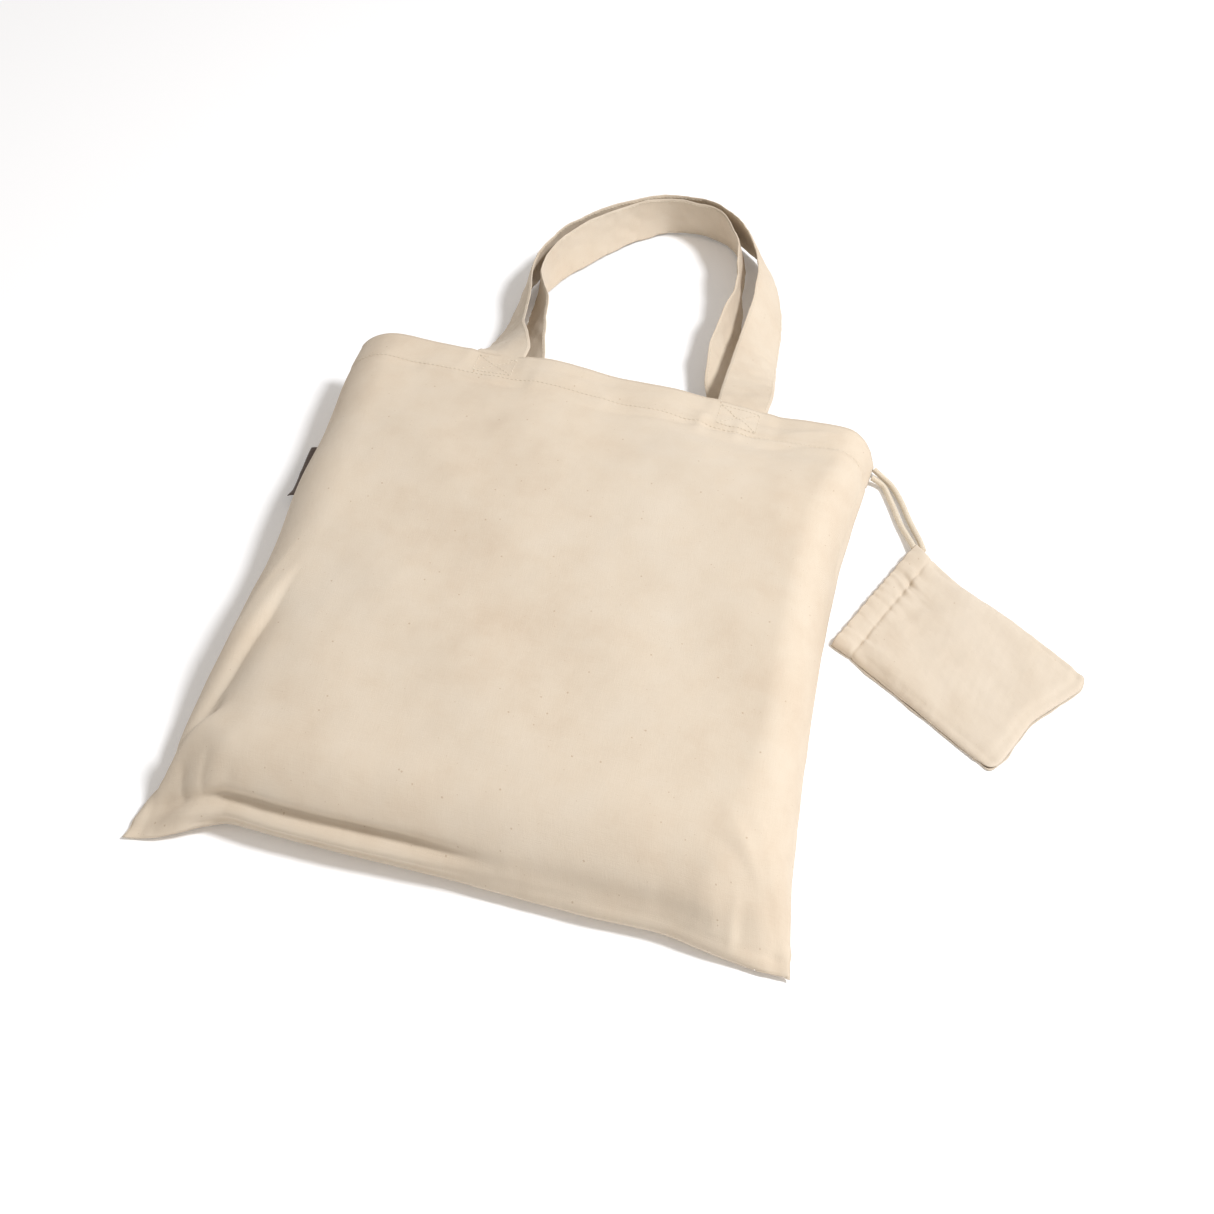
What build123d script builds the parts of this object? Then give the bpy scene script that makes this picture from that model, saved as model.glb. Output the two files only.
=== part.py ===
from build123d import *
import math
import os

# Foldable cotton tote bag with a small drawcord pouch sewn to its side seam.
# Row frame, millimetres: +X across the bag's width, +Y from the closed bottom
# towards the mouth and handles, +Z up. The back panel lies flat on z = 0, and
# the origin is the middle of the back panel's outer face.

# ---------------------------------------------------------------- dimensions
cloth = 1.0                 # one panel of calico, thickened to a handling shell
seam_t = 1.0                # seam allowance between the two panels
hem_t = 1.2                 # folded hem on the inside of each panel
hem_depth = 25.0
mouth_y = 207.0
bottom_y = -201.0
crest_z_bottom = 52.0       # top of the filled shape near the closed bottom
crest_z_mouth = 44.0        # top of the front panel at the mouth

# outline of the bag as it lies: wide at the bottom corners, drawn in at the sides
outline = [
    (-187.5, -201.0), (192.5, -201.0), (181.0, -120.0), (173.5, -30.0),
    (172.5, 50.0), (175.5, 120.0), (181.5, 207.0),
    (-187.0, 207.0), (-187.0, 110.0), (-181.0, 20.0), (-178.0, -80.0),
    (-181.0, -150.0),
]
tray_left = (-174.0, -146.0)     # x at the seam, x at the crest
tray_right = (167.5, 143.0)
tray_bottom = (-188.0, -164.0)   # y at the seam, y at the crest
seam_z = 3.0
crest_z = 53.0

strap_w = 35.5
strap_t = 1.6
strap_x = 85.0              # middle of each sewn strap end, left and right
hinge_y = 209.0
front_hinge_z = 47.0
back_hinge_z = 3.0
strap_start_y = 209.6
front_root_z = 41.0         # mid height of the front strap where it leaves the hem
back_root_z = 3.0
strap_top_z = 37.0          # upper edge of the straps standing on edge

thread_w = 0.9
thread_h = 0.4

label_len = 47.0
label_out = 10.0
label_t = 0.8
label_y = 102.5
label_x = -188.4
label_z = 8.0

cord_d = 4.0
casing_cord_d = 3.5

pouch_cloth = 0.8
pouch_T = (219.0, 137.0)    # mouth corner at the drawcord
pouch_L = (177.5, 41.0)     # other mouth corner, beside the tote
pouch_B = (281.5, -35.0)
pouch_R = (332.0, 49.0)
pouch_top_z = 7.6
casing_depth = 16.0
casing_z = (6.0, 10.4)


def top_plane_z(y):
    """Height of the front panel's outer top surface at a given y."""
    t = (y - tray_bottom[1]) / (mouth_y - tray_bottom[1])
    return crest_z_bottom + (crest_z_mouth - crest_z_bottom) * t


top_tilt = math.atan2(crest_z_mouth - crest_z_bottom, mouth_y - tray_bottom[1])
top_normal = (0.0, -math.sin(top_tilt), math.cos(top_tilt))


def top_plane(x, y, drop=0.0):
    """A work plane on the front panel's top, lowered along its normal."""
    z = top_plane_z(y)
    return Plane(
        origin=(x - top_normal[0] * drop, y - top_normal[1] * drop, z - top_normal[2] * drop),
        x_dir=(1, 0, 0),
        z_dir=top_normal,
    )


def hipped(inset, low_z, y_max):
    """The filled shape as a hipped solid: sloping sides, sloping bottom end, open mouth end."""
    sl = (tray_left[1] - tray_left[0]) / (crest_z - seam_z)
    sr = (tray_right[1] - tray_right[0]) / (crest_z - seam_z)
    sb = (tray_bottom[1] - tray_bottom[0]) / (crest_z - seam_z)
    hi = crest_z + 12.0

    def at(pair, slope, z, d):
        return pair[0] + slope * (z - seam_z) + d * math.copysign(math.hypot(1, slope), slope)

    with BuildPart() as env:
        with BuildSketch(Plane.XZ.offset(-(y_max))):
            Polygon(
                (at(tray_left, sl, low_z, inset), low_z),
                (at(tray_right, sr, low_z, inset), low_z),
                (at(tray_right, sr, hi, inset), hi),
                (at(tray_left, sl, hi, inset), hi),
                align=None,
            )
        extrude(amount=y_max + 215.0)
        yb_low = at(tray_bottom, sb, low_z, inset)
        yb_hi = at(tray_bottom, sb, hi, inset)
        # height of the lowered top plane at the two ends of the side profile
        z_at = lambda y: top_plane_z(y) - inset / math.cos(top_tilt)
        k = (crest_z_mouth - crest_z_bottom) / (mouth_y - tray_bottom[1])
        # where the bottom slope meets the top plane
        # y = yb_low + sb*(z-low_z);  z = z_at(0) + k*y
        z_c = (z_at(0) + k * (yb_low - sb * low_z)) / (1 - k * sb)
        y_c = yb_low + sb * (z_c - low_z)
        with BuildSketch(Plane.YZ.offset(-230.0)):
            Polygon(
                (yb_low, low_z), (y_max, low_z), (y_max, z_at(y_max)), (y_c, z_c),
                align=None,
            )
        extrude(amount=460.0, mode=Mode.INTERSECT)
    return env


env_outer = hipped(0.0, seam_z, mouth_y)
env_inner = hipped(cloth, 0.5, mouth_y + 5.0)
env_hem_outer = hipped(cloth, seam_z, mouth_y)
env_hem_inner = hipped(cloth + hem_t, 0.5, mouth_y + 5.0)

# ---------------------------------------------------------------- tote panels
with BuildPart() as tote_back_panel:
    with BuildSketch(Plane.XY):
        Polygon(*outline, align=None)
    extrude(amount=cloth)

with BuildPart() as tote_front_panel:
    with BuildSketch(Plane.XY.offset(cloth + seam_t)):
        Polygon(*outline, align=None)
    extrude(amount=cloth)
    add(env_outer.part)
    add(env_inner.part, mode=Mode.SUBTRACT)

with BuildPart() as front_hem:
    add(env_hem_outer.part)
    add(env_hem_inner.part, mode=Mode.SUBTRACT)
    with BuildSketch(Plane.XY):
        with Locations((0, mouth_y - hem_depth / 2)):
            Rectangle(460, hem_depth)
    extrude(amount=80, mode=Mode.INTERSECT)

with BuildPart() as back_hem:
    with BuildSketch(Plane.XY.offset(cloth)):
        Polygon(
            (-172.0, mouth_y - hem_depth), (165.5, mouth_y - hem_depth),
            (165.5, mouth_y), (-172.0, mouth_y), align=None,
        )
    extrude(amount=hem_t)


def seam_ring(x0, x1, y0, y1):
    """The part of the seam allowance inside the given window."""
    with BuildPart() as ring:
        with BuildSketch(Plane.XY.offset(cloth)):
            Polygon(*outline, align=None)
            with Locations(((tray_left[0] + tray_right[0]) / 2, (tray_bottom[0] + 230) / 2)):
                Rectangle(
                    tray_right[0] - tray_left[0], 230 - tray_bottom[0], mode=Mode.SUBTRACT
                )
            with Locations(((x0 + x1) / 2, (y0 + y1) / 2)):
                Rectangle(x1 - x0, y1 - y0, mode=Mode.INTERSECT)
        extrude(amount=seam_t)
    return ring


side_seam_left = seam_ring(-230, -100, tray_bottom[0], 230)

side_seam_right = seam_ring(100, 230, tray_bottom[0], 230)

bottom_seam = seam_ring(-230, 230, -230, tray_bottom[0])


# ---------------------------------------------------------------- sewn strap ends
def strap_end(plane, up):
    with BuildPart() as end:
        with BuildSketch(plane):
            Rectangle(strap_w, hem_depth - 2)
        extrude(amount=strap_t if up else -strap_t)
    return end


end_y = mouth_y - hem_depth / 2
front_strap_end_left = strap_end(top_plane(-strap_x, end_y, cloth + hem_t), False)

front_strap_end_right = strap_end(top_plane(strap_x, end_y, cloth + hem_t), False)

back_strap_end_left = strap_end(Plane(origin=(-strap_x, end_y, cloth + hem_t)), True)

back_strap_end_right = strap_end(Plane(origin=(strap_x, end_y, cloth + hem_t)), True)


# ---------------------------------------------------------------- threads
def box_cross(plane):
    """A sewn rectangle with a cross in it, as a thin raised thread line."""
    w, d = strap_w - 6.0, hem_depth - 8.0
    diag = math.hypot(w, d)
    ang = math.degrees(math.atan2(d, w))
    with BuildPart() as stitch:
        with BuildSketch(plane):
            Rectangle(w, d)
            Rectangle(w - 2 * thread_w, d - 2 * thread_w, mode=Mode.SUBTRACT)
            Rectangle(diag - 2.0, thread_w, rotation=ang)
            Rectangle(diag - 2.0, thread_w, rotation=-ang)
        extrude(amount=thread_h)
    return stitch


box_stitch_front_left = box_cross(top_plane(-strap_x, end_y))

box_stitch_front_right = box_cross(top_plane(strap_x, end_y))

box_stitch_back_left = box_cross(Plane(origin=(-strap_x, end_y, cloth + hem_t + strap_t)))

box_stitch_back_right = box_cross(Plane(origin=(strap_x, end_y, cloth + hem_t + strap_t)))

stitch_y = mouth_y - hem_depth + 2.0
with BuildPart() as hem_stitch_front:
    with BuildSketch(top_plane(0, stitch_y)):
        Rectangle(270, thread_w)
    extrude(amount=thread_h)

with BuildPart() as hem_stitch_back:
    with BuildSketch(Plane(origin=(0, stitch_y - 1.5, cloth + hem_t))):
        Rectangle(330, thread_w)
    extrude(amount=thread_h)


# ---------------------------------------------------------------- handles
def arc_radii(pts):
    """Fillet radii for a route: 0.45 of the shorter run over tan of half the turn."""
    radii = []
    for a, b, c in zip(pts, pts[1:], pts[2:]):
        u = Vector(*b) - Vector(*a)
        v = Vector(*c) - Vector(*b)
        turn = math.radians(u.get_angle(v))
        radii.append(0.45 * min(u.length, v.length) / math.tan(turn / 2))
    return radii


# the strap stands on edge round its arch; the front strap is the outer one
front_arch = [
    (-96, 228), (-102, 290), (-100, 350), (-80, 403), (-44, 441), (-4, 454),
    (34, 443), (64, 408), (86, 352), (96, 292), (95, 228),
]
back_arch = [
    (-62, 246), (-77, 294), (-87, 342), (-74, 391), (-42, 430), (-6, 446),
    (26, 434), (46, 403), (57, 356), (59, 302), (61, 246),
]


def on_edge(route, profile):
    """A strap standing on edge along a plan route, trimmed to a side profile."""
    radii = arc_radii(route)
    with BuildPart() as wall:
        with BuildSketch(Plane.XY):
            with BuildLine() as path:
                FilletPolyline(*route, radius=radii)
            trace(path.edges(), line_width=strap_t)
        extrude(amount=60)
        with BuildSketch(Plane.YZ.offset(-150)):
            Polygon(*profile, align=None)
        extrude(amount=300, mode=Mode.INTERSECT)
    return wall


front_wall = on_edge(
    front_arch,
    [(227, 38.5), (231, 41.8), (242, 41.8), (266, strap_top_z), (470, strap_top_z),
     (470, 1.5), (262, 1.5)],
)
back_wall = on_edge(
    back_arch,
    [(244, 2.2), (260, 28.0), (272, strap_top_z - 1.5), (470, strap_top_z - 1.5),
     (470, 1.5), (244, 1.5)],
)

with BuildPart() as front_handle:
    with BuildSketch(Plane.XY.offset(front_root_z - strap_t / 2)):
        for s in (-1, 1):
            with Locations((s * strap_x, (strap_start_y + 232) / 2)):
                Rectangle(strap_w, 232 - strap_start_y)
    extrude(amount=strap_t)
    add(front_wall.part)

with BuildPart() as back_handle:
    with BuildSketch(Plane.XY.offset(back_root_z - strap_t / 2)):
        for s in (-1, 1):
            Polygon(
                (s * (strap_x - strap_w / 2), strap_start_y),
                (s * (strap_x + strap_w / 2), strap_start_y),
                (s * (strap_x + strap_w / 2), 222),
                (s * 70, 254),
                (s * 54, 254),
                (s * (strap_x - strap_w / 2), 226),
                align=None,
            )
    extrude(amount=strap_t)
    add(back_wall.part)

# ---------------------------------------------------------------- side label
with BuildPart() as side_label:
    with BuildSketch(Plane.XY.offset(label_z)):
        with Locations((label_x - label_out / 2, label_y)):
            Rectangle(label_out, label_len)
    extrude(amount=label_t)

# ---------------------------------------------------------------- drawcord
cord_z = 2.2
strand_a_route = [
    (187.0, 199.2, cord_z), (193.5, 193.0, cord_z), (201.0, 180.0, cord_z),
    (208.0, 163.5, cord_z), (214.5, 150.5, cord_z), (218.6, 141.8, cord_z),
]
strand_b_route = [
    (187.0, 193.2, cord_z), (190.8, 185.4, cord_z), (196.8, 172.5, cord_z),
    (202.8, 158.0, cord_z), (208.0, 147.0, cord_z), (212.6, 138.2, cord_z),
]

# the bar tack on the side seam that the drawcord's loop is sewn under
with BuildPart() as cord_tack:
    with BuildSketch(Plane.XY.offset(2 * cloth + seam_t)):
        with Locations((177.6, 197.0)):
            Rectangle(5.0, 10.0)
    extrude(amount=0.8)


def cord_tube(route, d):
    radii = arc_radii(route)
    with BuildPart() as tube:
        with BuildLine() as path:
            FilletPolyline(*route, radius=radii)
        start = Vector(*route[0])
        heading = Vector(*route[1]) - start
        with BuildSketch(Plane(origin=start, z_dir=heading)):
            Circle(d / 2)
        sweep(path=path.line)
    length = sum(e.length for e in path.edges())
    print(
        "cord", "length %.1f" % length,
        "radii", [round(r, 1) for r in radii],
        "volume %.1f" % tube.part.volume,
        "section x length %.1f" % (math.pi * d * d / 4 * length),
    )
    return tube


drawcord_strand_a = cord_tube(strand_a_route, cord_d)

drawcord_strand_b = cord_tube(strand_b_route, cord_d)


# ---------------------------------------------------------------- pouch
def inset_quad(quad, sides):
    """The quadrilateral with each side moved inwards by its own distance."""
    n = len(quad)
    lines = []
    for i in range(n):
        a, b = Vector(*quad[i]), Vector(*quad[(i + 1) % n])
        u = (b - a).normalized()
        inward = Vector(-u.Y, u.X)          # left of the walking direction
        lines.append((a + inward * sides[i], u))
    out = []
    for i in range(n):
        p, u = lines[i - 1]
        q, v = lines[i]
        det = u.X * v.Y - u.Y * v.X
        w = q - p
        t = (w.X * v.Y - w.Y * v.X) / det
        c = p + u * t
        out.append((c.X, c.Y))
    return out


# sides in walking order: mouth (T to L), side (L to B), closed end (B to R), side (R to T)
pouch_quad = [pouch_T, pouch_L, pouch_B, pouch_R]


def pouch_block(low_in, low_z, high_in, high_z):
    with BuildPart() as block:
        with BuildSketch(Plane.XY.offset(low_z)):
            Polygon(*inset_quad(pouch_quad, low_in), align=None)
        with BuildSketch(Plane.XY.offset(high_z)):
            Polygon(*inset_quad(pouch_quad, high_in), align=None)
        loft(ruled=True)
    return block


def pouch_slab(sides, z, h):
    with BuildPart() as slab:
        with BuildSketch(Plane.XY.offset(z)):
            Polygon(*inset_quad(pouch_quad, sides), align=None)
        extrude(amount=h)
    return slab


flange = 4.0
pouch_outer = pouch_block(
    [casing_depth, flange, flange, flange], pouch_cloth,
    [casing_depth, flange + 6, flange + 6, flange + 6], pouch_top_z,
)
t2 = pouch_cloth * 1.4
pouch_inner = pouch_block(
    [casing_depth - 6, flange + t2, flange + t2, flange + t2], pouch_cloth - 0.4,
    [casing_depth - 6, flange + 6 + t2 * 0.9, flange + 6 + t2 * 0.9, flange + 6 + t2 * 0.9],
    pouch_top_z - pouch_cloth,
)

pouch_back_panel = pouch_slab([0, 0, 0, 0], 0.0, pouch_cloth)

pouch_flange = pouch_slab([casing_depth, 0, 0, 0], pouch_cloth, pouch_cloth)

with BuildPart() as pouch_front_panel:
    add(pouch_flange.part)
    add(pouch_outer.part)
    add(pouch_inner.part, mode=Mode.SUBTRACT)

mouth_dir = (Vector(*pouch_L) - Vector(*pouch_T)).normalized()
mouth_in = Vector(-mouth_dir.Y, mouth_dir.X)
mouth_len = (Vector(*pouch_L) - Vector(*pouch_T)).length
casing_mid_z = (casing_z[0] + casing_z[1]) / 2


def casing_start(along, inward, z):
    p = Vector(*pouch_T) + mouth_dir * along + mouth_in * inward
    return Vector(p.X, p.Y, z)


# the front casing is a flattened sleeve along the mouth, with the cord inside it
casing_margin = 8.0
with BuildPart() as pouch_casing_front:
    with BuildSketch(Plane(
        origin=casing_start(casing_margin, casing_depth / 2, casing_mid_z),
        x_dir=(mouth_in.X, mouth_in.Y, 0), z_dir=(mouth_dir.X, mouth_dir.Y, 0),
    )):
        RectangleRounded(casing_depth - 0.6, casing_z[1] - casing_z[0], 1.6)
        Circle(casing_cord_d / 2 + 0.1, mode=Mode.SUBTRACT)
    extrude(amount=mouth_len - 2 * casing_margin)

with BuildPart() as pouch_casing_cord:
    with BuildSketch(Plane(
        origin=casing_start(casing_margin - 2.5, casing_depth / 2, casing_mid_z),
        x_dir=(mouth_in.X, mouth_in.Y, 0), z_dir=(mouth_dir.X, mouth_dir.Y, 0),
    )):
        Circle(casing_cord_d / 2)
    extrude(amount=mouth_len - 2 * casing_margin + 5.0)

# the two gathered side walls that carry the front casing above the back panel
def casing_side(along):
    with BuildPart() as side:
        with BuildSketch(Plane(
            origin=casing_start(along, casing_depth / 2, pouch_cloth),
            x_dir=(mouth_in.X, mouth_in.Y, 0), z_dir=(0, 0, 1),
        )):
            Rectangle(casing_depth - 1.0, 2.4)
        extrude(amount=casing_z[0] - pouch_cloth)
    return side


pouch_casing_side_near = casing_side(casing_margin + 1.3)

pouch_casing_side_far = casing_side(mouth_len - casing_margin - 1.3)

with BuildPart() as pouch_casing_back:
    with BuildSketch(Plane(
        origin=casing_start(casing_margin + 3.2, casing_depth - 1.2, pouch_cloth),
        x_dir=(mouth_dir.X, mouth_dir.Y, 0), z_dir=(0, 0, 1),
    )):
        Rectangle(mouth_len - 2 * casing_margin - 6.4, thread_w, align=(Align.MIN, Align.CENTER))
    extrude(amount=0.4)

with BuildPart() as pouch_casing_stitch:
    with BuildSketch(Plane(
        origin=casing_start(casing_margin + 1, casing_depth - 2.6, casing_z[1]),
        x_dir=(mouth_dir.X, mouth_dir.Y, 0), z_dir=(0, 0, 1),
    )):
        Rectangle(mouth_len - 2 * casing_margin - 2, thread_w, align=(Align.MIN, Align.CENTER))
    extrude(amount=thread_h)

# ---------------------------------------------------------------- export
tote_front_panel.part.label = "tote_front_panel"
tote_back_panel.part.label = "tote_back_panel"
front_hem.part.label = "front_hem"
back_hem.part.label = "back_hem"
side_seam_left.part.label = "side_seam_left"
side_seam_right.part.label = "side_seam_right"
bottom_seam.part.label = "bottom_seam"
front_strap_end_left.part.label = "front_strap_end_left"
front_strap_end_right.part.label = "front_strap_end_right"
back_strap_end_left.part.label = "back_strap_end_left"
back_strap_end_right.part.label = "back_strap_end_right"
box_stitch_front_left.part.label = "box_stitch_front_left"
box_stitch_front_right.part.label = "box_stitch_front_right"
box_stitch_back_left.part.label = "box_stitch_back_left"
box_stitch_back_right.part.label = "box_stitch_back_right"
hem_stitch_front.part.label = "hem_stitch_front"
hem_stitch_back.part.label = "hem_stitch_back"
front_handle.part.label = "front_handle"
back_handle.part.label = "back_handle"
side_label.part.label = "side_label"
cord_tack.part.label = "cord_tack"
drawcord_strand_a.part.label = "drawcord_strand_a"
drawcord_strand_b.part.label = "drawcord_strand_b"
pouch_front_panel.part.label = "pouch_front_panel"
pouch_back_panel.part.label = "pouch_back_panel"
pouch_casing_front.part.label = "pouch_casing_front"
pouch_casing_side_near.part.label = "pouch_casing_side_near"
pouch_casing_side_far.part.label = "pouch_casing_side_far"
pouch_casing_back.part.label = "pouch_casing_back"
pouch_casing_cord.part.label = "pouch_casing_cord"
pouch_casing_stitch.part.label = "pouch_casing_stitch"

for piece in (
    tote_front_panel, tote_back_panel, front_hem, back_hem, side_seam_left,
    side_seam_right, bottom_seam, front_strap_end_left, front_strap_end_right,
    back_strap_end_left, back_strap_end_right, box_stitch_front_left,
    box_stitch_front_right, box_stitch_back_left, box_stitch_back_right,
    hem_stitch_front, hem_stitch_back, front_handle, back_handle, side_label,
    cord_tack,
    drawcord_strand_a, drawcord_strand_b, pouch_front_panel, pouch_back_panel,
    pouch_casing_front, pouch_casing_side_near, pouch_casing_side_far,
    pouch_casing_back, pouch_casing_cord, pouch_casing_stitch,
):
    export_step(piece.part, "parts/" + piece.part.label + ".step")
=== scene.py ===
import bpy
import math
import numpy as np
from mathutils import Matrix, Vector


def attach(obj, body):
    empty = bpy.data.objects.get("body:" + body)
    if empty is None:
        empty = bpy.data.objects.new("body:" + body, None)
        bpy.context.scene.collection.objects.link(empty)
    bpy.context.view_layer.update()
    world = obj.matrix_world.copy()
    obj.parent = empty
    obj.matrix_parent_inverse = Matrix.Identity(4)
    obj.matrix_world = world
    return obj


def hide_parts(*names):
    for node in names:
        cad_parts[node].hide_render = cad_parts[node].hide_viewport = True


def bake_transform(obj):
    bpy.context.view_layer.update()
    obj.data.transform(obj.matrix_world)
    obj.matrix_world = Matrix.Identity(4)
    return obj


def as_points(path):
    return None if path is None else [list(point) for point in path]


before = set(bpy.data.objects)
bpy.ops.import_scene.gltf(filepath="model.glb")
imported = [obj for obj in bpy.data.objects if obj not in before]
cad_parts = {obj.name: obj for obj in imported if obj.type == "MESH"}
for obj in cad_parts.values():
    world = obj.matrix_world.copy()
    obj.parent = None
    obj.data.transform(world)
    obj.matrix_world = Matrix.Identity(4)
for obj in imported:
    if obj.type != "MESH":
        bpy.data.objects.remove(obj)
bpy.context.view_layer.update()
scene = bpy.context.scene
MM = 0.001


# ------------------------------------------------------------------ camera
def make_camera():
    cam = bpy.data.cameras.new("Camera")
    cam.sensor_width = 36.0
    cam.sensor_fit = "HORIZONTAL"
    cam.lens = 1730.0 / 1214.0 * 36.0
    cam.clip_start = 0.05
    cam.clip_end = 20.0
    ob = bpy.data.objects.new("Camera", cam)
    scene.collection.objects.link(ob)
    right = Vector((0.969887966, 0.243550593, -0.000665332))
    down = Vector((0.176260935, -0.703801322, -0.688182957))
    fwd = Vector((-0.168075629, 0.667343096, -0.725536887))
    m = Matrix.Identity(4)
    for i in range(3):
        m[i][0] = right[i]
        m[i][1] = -down[i]
        m[i][2] = -fwd[i]
    m[0][3], m[1][3], m[2][3] = 0.21703114, -0.69173485, 0.79506567
    ob.matrix_world = m
    scene.camera = ob


make_camera()


# ------------------------------------------------------------------ helpers
def interp(table, x):
    t = np.array(table, float)
    return np.interp(x, t[:, 0], t[:, 1])


def smooth_interp(table, x):
    """Piecewise cubic (Hermite, finite-difference tangents) through a table."""
    t = np.array(table, float)
    xs, ys = t[:, 0], t[:, 1]
    x = np.clip(np.asarray(x, float), xs[0], xs[-1])
    d = np.zeros(len(xs))
    h = np.diff(xs)
    s = np.diff(ys) / h
    d[1:-1] = np.where(s[:-1] * s[1:] > 0, 2 * s[:-1] * s[1:] / (s[:-1] + s[1:] + 1e-12 * np.sign(s[:-1] + s[1:] + 1e-30)), 0)
    d[0], d[-1] = s[0], s[-1]
    i = np.clip(np.searchsorted(xs, x) - 1, 0, len(h) - 1)
    u = (x - xs[i]) / h[i]
    return (
        ys[i] * (1 + 2 * u) * (1 - u) ** 2
        + h[i] * d[i] * u * (1 - u) ** 2
        + ys[i + 1] * u * u * (3 - 2 * u)
        + h[i] * d[i + 1] * u * u * (u - 1)
    )


def sstep(a, b, x):
    t = np.clip((x - a) / (b - a), 0, 1)
    return t * t * (3 - 2 * t)


def waves(x, y, lo, hi, n, seed):
    """A smooth, seeded noise of unit spread with wavelengths from lo to hi."""
    r = np.random.default_rng(seed)
    out = np.zeros_like(np.asarray(x, float) + np.asarray(y, float))
    for _ in range(n):
        lam = lo * (hi / lo) ** r.random()
        a = r.random() * 2 * math.pi
        out += math.sqrt(lam / hi) * np.cos(
            2 * math.pi * (x * math.cos(a) + y * math.sin(a)) / lam + r.random() * 6.283
        )
    return out / math.sqrt(n / 2)


def line_dist(x, y, pts):
    """Distance to a polyline, the signed side (+ is left of it) and how far along it, 0 to 1."""
    pts = np.array(pts, float)
    seg = np.linalg.norm(np.diff(pts, axis=0), axis=1)
    total = seg.sum()
    best = np.full(x.shape, 1e9)
    side = np.ones(x.shape)
    along = np.zeros(x.shape)
    run = 0.0
    for a, b, L in zip(pts[:-1], pts[1:], seg):
        d = (b - a) / L
        px, py = x - a[0], y - a[1]
        t = np.clip(px * d[0] + py * d[1], 0, L)
        qx, qy = px - t * d[0], py - t * d[1]
        dist = np.hypot(qx, qy)
        s = np.sign(d[0] * qy - d[1] * qx)
        near = dist < best
        best = np.where(near, dist, best)
        side = np.where(near, s, side)
        along = np.where(near, (run + t) / total, along)
        run += L
    return best, side, along


def normals_of(P):
    du = np.gradient(P, axis=1)
    dv = np.gradient(P, axis=0)
    n = np.cross(du, dv)
    return n / np.maximum(np.linalg.norm(n, axis=2, keepdims=True), 1e-9)


def even(P, axis, n):
    """The grid again with n points along axis, evenly spaced by arc length on each line."""
    P = np.moveaxis(P, axis, 0)
    out = np.zeros((n,) + P.shape[1:])
    for k in range(P.shape[1]):
        line = P[:, k]
        s = np.concatenate([[0], np.cumsum(np.linalg.norm(np.diff(line, axis=0), axis=1))])
        at = np.linspace(0, s[-1], n)
        for c in range(3):
            out[:, k, c] = np.interp(at, s, line[:, c])
    return np.moveaxis(out, 0, axis)


def grid_mesh(name, P, uv=None, wrap=False, flip=False):
    """A quad mesh from an (nv, nu, 3) grid in millimetres, with a map in metres of cloth."""
    nv, nu = P.shape[:2]
    me = bpy.data.meshes.new(name)
    faces = []
    for j in range(nv - 1):
        for i in range(nu if wrap else nu - 1):
            a, b = j * nu + i, j * nu + (i + 1) % nu
            c, d = b + nu, a + nu
            faces.append((a, d, c, b) if flip else (a, b, c, d))
    me.from_pydata((P.reshape(-1, 3) * MM).tolist(), [], faces)
    if uv is None:
        s = np.zeros((nv, nu))
        t = np.zeros((nv, nu))
        s[:, 1:] = np.cumsum(np.linalg.norm(np.diff(P, axis=1), axis=2), axis=1)
        t[1:] = np.cumsum(np.linalg.norm(np.diff(P, axis=0), axis=2), axis=0)
        t = np.broadcast_to(t.mean(1, keepdims=True), t.shape)
        uv = np.stack([s, t], axis=2)
    flat = uv.reshape(-1, 2) * MM
    layer = me.uv_layers.new(name="cloth")
    idx = np.zeros(len(me.loops), np.int32)
    me.loops.foreach_get("vertex_index", idx)
    layer.data.foreach_set("uv", flat[idx].astype(np.float32).ravel())
    me.polygons.foreach_set("use_smooth", [True] * len(me.polygons))
    me.update()
    ob = bpy.data.objects.new(name, me)
    scene.collection.objects.link(ob)
    return ob


def solidify(ob, mm, offset=-1.0):
    m = ob.modifiers.new("thick", "SOLIDIFY")
    m.thickness = mm * MM
    m.offset = offset
    m.use_even_offset = False
    return ob


def apply_mods(ob):
    dg = bpy.context.evaluated_depsgraph_get()
    me = bpy.data.meshes.new_from_object(ob.evaluated_get(dg), preserve_all_data_layers=True, depsgraph=dg)
    ob.modifiers.clear()
    old = ob.data
    ob.data = me
    bpy.data.meshes.remove(old)
    return ob


def catmull(pts, n):
    """n points evenly along a centripetal-like cubic through pts (k, d)."""
    p = np.array(pts, float)
    seg = np.linalg.norm(np.diff(p[:, :3], axis=0), axis=1)
    s = np.concatenate([[0], np.cumsum(seg)])
    m = np.zeros_like(p)
    m[1:-1] = (p[2:] - p[:-2]) / (s[2:] - s[:-2])[:, None]
    m[0] = (p[1] - p[0]) / seg[0]
    m[-1] = (p[-1] - p[-2]) / seg[-1]
    dense = np.linspace(0, s[-1], n * 6)
    i = np.clip(np.searchsorted(s, dense) - 1, 0, len(seg) - 1)
    h = seg[i]
    u = ((dense - s[i]) / h)[:, None]
    h = h[:, None]
    q = (
        p[i] * (1 + 2 * u) * (1 - u) ** 2
        + h * m[i] * u * (1 - u) ** 2
        + p[i + 1] * u * u * (3 - 2 * u)
        + h * m[i + 1] * u * u * (u - 1)
    )
    d = np.concatenate([[0], np.cumsum(np.linalg.norm(np.diff(q[:, :3], axis=0), axis=1))])
    at = np.linspace(0, d[-1], n)
    return np.stack([np.interp(at, d, q[:, k]) for k in range(q.shape[1])], axis=1), d[-1]


def unit(v):
    return v / np.maximum(np.linalg.norm(v, axis=-1, keepdims=True), 1e-9)


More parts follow.
